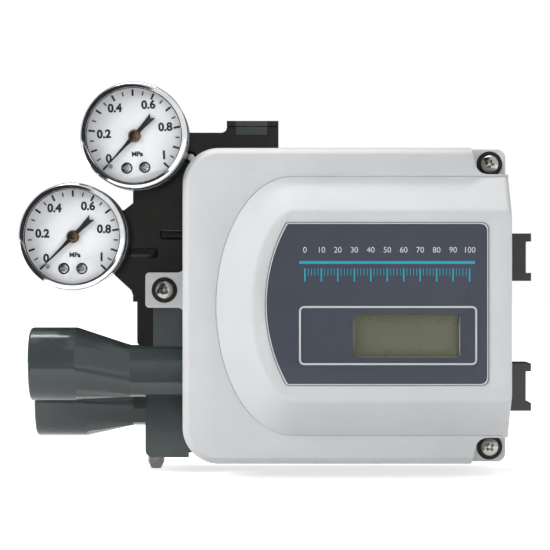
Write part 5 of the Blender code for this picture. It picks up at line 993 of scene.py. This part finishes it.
def gauge_pointer(name, look):
    """The black needle with its swallow tail, and the turned hub."""
    (x, z), crown, end, _ = gauge_part(name, "_pointer")
    tilt = GAUGES[name][2]
    front, back = POINTER["front"], POINTER["back"]
    outline = [*NEEDLE, *[(u, -v) for u, v in reversed(NEEDLE)]]
    angle = math.radians(DIAL["start"] + tilt)
    turned_outline = [(x + u * math.cos(angle) - v * math.sin(angle),
                       z + u * math.sin(angle) + v * math.cos(angle)) for u, v in outline]
    needle = prism(name + "_needle_blade", turned_outline, front, back)
    soften(tidy_mesh(needle), POINTER["edge"])
    body = name.replace("gauge", "needle")
    finish_piece(needle, body, look["needle_black"], "black_plastic", name + "_pointer")
    profile = behind(crown, HUB_CROWN) + behind(front, HUB_SEAT) + behind(back, HUB_SPINDLE)
    hub = turned(name + "_hub", (x, z), profile + [(HUB_SPINDLE[-1][0], end), (0, end)], 48)
    finish_piece(smooth_faces(hub, 32), body, look["hub"], "brass")


def gauges(look):
    for name in GAUGES:
        gauge_case(name, look)
        gauge_bezel(name, look)
        gauge_dial(name, look)
        gauge_pointer(name, look)
        centre, front, back, radius = gauge_part(name, "_lens")
        lens = turned(name + "_glass", centre, [
            (0, front), (radius - LENS_CHAMFER, front), (radius, front + LENS_CHAMFER),
            (radius, back), (0, back)], 144)
        finish_piece(smooth_faces(lens, 30), "base", look["glass"], "clear_lens", name + "_lens")
        # A thin black ring at the glass's edge: painted shade for the gap between bezel and glass
        inner, outer, thick = LENS_SHADE_RING
        near, far = front - thick, front - PRINT_LIFT
        gasket = turned(name + "_gasket", centre, [
            (inner, near), (outer, near), (outer, far), (inner, far)], 144)
        finish_piece(smooth_faces(gasket, 30), "base", look["rubber"], "rubber")


def looks():
    """Every material of the scene, by the name that the pieces ask for."""
    return {
        "grey_cover": paint("grey_cover_paint", GREY, 0.42, 0.22, 0.05),
        "slate": paint("slate_paint", SLATE, 0.14, 0.06, 0.10, 0.40, EARS),
        "black": paint("black_paint", BLACK, 0.22, 0.15, 0.20, 0.28, PLATE),
        "case_steel": metal("case_steel", (0.62, 0.64, 0.66), 0.20, marks=0.012),
        "film": plastic("panel_film_ink", PANEL_INK, 0.42, 0.05, 2600, 0.04, 0.25),
        # White print for the scale's figures, also used for the painted highlight at the panel's
        # edge
        "print_and_highlight_white": plastic("white_print_and_highlight", (0.62, 0.63, 0.64), 0.45),
        "print_black": plastic("black_print", (0.016, 0.016, 0.018), 0.45),
        "print_cyan": plastic("cyan_print", (0.018, 0.33, 0.47), 0.42),
        "silver_line": plastic("silver_print", (0.56, 0.57, 0.58), 0.38, 0.06, 1500),
        "lcd_edge": plastic("display_frame", (0.34, 0.35, 0.34), 0.40),
        "display": display("lcd_glass"),
        "glass": glass("clear_glass", (0.10, 0.11, 0.11), 0.03),
        "chrome": metal("chrome_plate", (0.80, 0.81, 0.82), 0.10, marks=0.010),
        "steel": metal("zinc_steel", (0.52, 0.52, 0.51), 0.20, marks=0.08),
        "screw_steel": metal("screw_steel", (0.46, 0.45, 0.42), 0.20, marks=0.05),
        "dull_steel": metal("dull_steel", (0.17, 0.17, 0.165), 0.22, marks=0.05),
        "brass": metal("brass_turned", (0.42, 0.28, 0.12), 0.32),
        "hub": metal("hub_bronze", (0.16, 0.11, 0.08), 0.30),
        "nickel": metal("nickel_plate", (0.66, 0.65, 0.62), 0.28),
        "bronze": metal("sintered_bronze", (0.36, 0.22, 0.10), 0.60, marks=0.6, scale=1600),
        "copper": winding("copper_winding"),
        "dial": plastic("dial_enamel", (0.95, 0.97, 1.0), 0.38, 0.02, 1500, 0.01),
        "needle_black": plastic("needle_black_paint", (0.010, 0.010, 0.011), 0.40),
        "ink": plastic("moulded_black", (0.022, 0.022, 0.024), 0.45, 0.15),
        "rubber": rubber("nitrile_rubber"),
        "board": plastic("solder_mask", (0.012, 0.075, 0.040), 0.35, 0.12, 700, 0.35),
        "nylon": plastic("moulded_nylon", (0.20, 0.22, 0.23), 0.40, 0.12),
    }


def crease(name, obj):
    """Keep the conduits' rings crisp: a narrow bevel at each holds the shading on both sides."""
    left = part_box(name)[0].x
    for index, reach in enumerate(CREASE["reach"]):
        group = obj.vertex_groups.new(name=f"ring_{index}")
        ring = [vertex.index for vertex in obj.data.vertices
                if abs((obj.matrix_world @ vertex.co).x - left - reach) < CREASE["slack"]]
        group.add(ring, 1.0, "REPLACE")
        edge = obj.modifiers.new(group.name, "BEVEL")
        edge.width = CREASE["width"]
        edge.segments = 1
        edge.limit_method = "VGROUP"
        edge.vertex_group = group.name


def kept_solids(nodes, look):
    """Finish the solids that stay as they are, each with the rounding that suits it."""
    for finish, (width, names) in KEPT.items():
        for name in names:
            obj = nodes[name]
            obj.data.materials.clear()
            obj.data.materials.append(look[finish])
            weld = obj.modifiers.new("weld", "WELD")
            weld.merge_threshold = SAME
            flat = obj.modifiers.new("flat", "DECIMATE")
            flat.decimate_type = "DISSOLVE"
            flat.angle_limit = math.radians(KEPT_MERGE_ANGLE)
            if name == "main_housing":
                crease(name, obj)
            if width:
                edge = obj.modifiers.new("edge", "BEVEL")
                edge.width = width
                edge.segments = 2
                edge.limit_method = "ANGLE"
                edge.angle_limit = math.radians(KEPT_SOFT_ANGLE)
            smooth_faces(obj, KEPT_SOFT_ANGLE)
            even = obj.modifiers.new("even", "WEIGHTED_NORMAL")
            even.keep_sharp = True


def pilot_spring(look):
    """The relay's coil spring, drawn at one length only, though the poppet rises under it."""
    low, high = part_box("pilot_spring")
    middle = (low + high) / 2
    wire, turns, travel = SPRING["wire"], SPRING["turns"], SPRING["travel"]
    radius = (high.x - low.x) / 2 - wire
    start, end = low.z + wire, high.z - wire
    steps = round(turns * SPRING["steps"])
    sections = []
    for step in range(steps + 1):
        turn = 2 * math.pi * turns * step / steps
        out = Vector((math.cos(turn), math.sin(turn), 0))
        centre = Vector((middle.x, middle.y, start + (end - start) * step / steps)) + out * radius
        sections.append([centre + wire * (math.cos(a) * out + math.sin(a) * Vector((0, 0, 1)))
                         for a in (math.radians(30 * side) for side in range(12))])
    coil = smooth_faces(loft("pilot_coil", sections), 40)
    finish_piece(coil, "base", look["steel"], "steel", "pilot_spring")
    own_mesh(coil)


def area_light(name, spot, aim, size, level, reflected):
    """A soft lamp that lights a surface facing it at its aim to a share of full white."""
    lamp = bpy.data.lights.new(name, "AREA")
    lamp.shape = "RECTANGLE"
    lamp.size, lamp.size_y = size
    reach = Vector(aim) - Vector(spot)
    lamp.energy = level * math.pi ** 2 * reach.length_squared
    obj = new_object(name, lamp)
    obj.location = spot
    obj.rotation_euler = reach.to_track_quat("-Z", "Y").to_euler()
    obj.visible_glossy = reflected


def seen_share(tree):
    """1 where the camera, a reflection or clear glass looks straight at a surface, otherwise 0."""
    path = tree.nodes.new("ShaderNodeLightPath")
    total = path.outputs["Is Camera Ray"]
    for name in ("Is Glossy Ray", "Is Transmission Ray"):
        most = tree.nodes.new("ShaderNodeMath")
        most.operation = "MAXIMUM"
        tree.links.new(total, most.inputs[0])
        tree.links.new(path.outputs[name], most.inputs[1])
        total = most.outputs["Value"]
    return total


def world():
    """Soft even light all round, over which the view itself stays white."""
    sky = bpy.data.worlds.new("studio")
    sky.use_nodes = True
    bpy.context.scene.world = sky
    tree = sky.node_tree
    tree.nodes.clear()
    light, view = [tree.nodes.new("ShaderNodeBackground") for _ in range(2)]
    for shader, strength in ((light, WORLD_LIGHT), (view, 1.0)):
        shader.inputs["Color"].default_value = (1, 1, 1, 1)
        shader.inputs["Strength"].default_value = strength
    mix, out = tree.nodes.new("ShaderNodeMixShader"), tree.nodes.new("ShaderNodeOutputWorld")
    tree.links.new(seen_share(tree), mix.inputs["Fac"])
    tree.links.new(light.outputs["Background"], mix.inputs[1])
    tree.links.new(view.outputs["Background"], mix.inputs[2])
    tree.links.new(mix.outputs["Shader"], out.inputs["Surface"])


def flat_square(name, half):
    bm = bmesh.new()
    bmesh.ops.create_grid(bm, x_segments=1, y_segments=1, size=half)
    return from_bmesh(name, bm)


def floor():
    """A plain pale floor that keeps the object's shadow."""
    plane = flat_square("floor", FLOOR_HALF)
    plane.data.transform(Matrix.Translation((0, 0, FLOOR_Z)))
    nodes = Nodes("floor_paper", FLOOR_TONE, 0.9)
    nodes.polish(8, 2, 0.85, 0.95)
    tree = nodes.tree
    reach = nodes.add("ShaderNodeVectorMath", {0: nodes.place}, operation="LENGTH")
    share = nodes.spread(reach.outputs["Value"], FLOOR_GLOW, 1.0, FLOOR_NEAR, FLOOR_FAR)
    glow = nodes.add("ShaderNodeMath", {0: seen_share(tree), 1: share}, operation="MULTIPLY")
    nodes.shader.inputs["Emission Color"].default_value = (1, 1, 1, 1)
    nodes.set("Emission Strength", glow.outputs["Value"])
    plane.data.materials.append(nodes.material)


def flags():
    """Dark cards beside and behind the object that only its reflections show."""
    nodes = Nodes("flag_cloth", (0.02, 0.02, 0.022), 0.9)
    nodes.polish(30, 2, 0.85, 0.95)
    for name, (spot, faces, size) in FLAGS.items():
        card = flat_square(name, 0.5)
        card.location = spot
        card.scale = size
        card.rotation_euler = (Vector(faces) - Vector(spot)).to_track_quat("Z", "Y").to_euler()
        card.data.materials.append(nodes.material)
        for ray in ("camera", "diffuse", "shadow", "transmission"):
            setattr(card, "visible_" + ray, False)


def camera():
    eye = bpy.data.cameras.new("camera")
    eye.lens = CAMERA_LENS
    eye.sensor_width = CAMERA_SENSOR
    eye.clip_start = CAMERA_NEAREST
    obj = new_object("camera", eye)
    obj.location = CAMERA_SPOT
    obj.rotation_euler = (math.radians(90), 0, 0)
    bpy.context.scene.camera = obj


def main():
    for obj in list(bpy.data.objects):
        bpy.data.objects.remove(obj)
    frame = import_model()
    look = looks()
    camera()
    world()
    floor()
    flags()
    for name, spot, size, level, reflected in LAMPS:
        area_light(name, spot, AIM, size, level, reflected)
    kept_solids(frame["nodes"], look)
    front_cover(look["grey_cover"])
    cover_screws(look)
    name_panel(look)
    window_and_display(look)
    gauges(look)
    pilot_spring(look)
    bpy.context.scene.view_settings.view_transform = "Standard"


main()
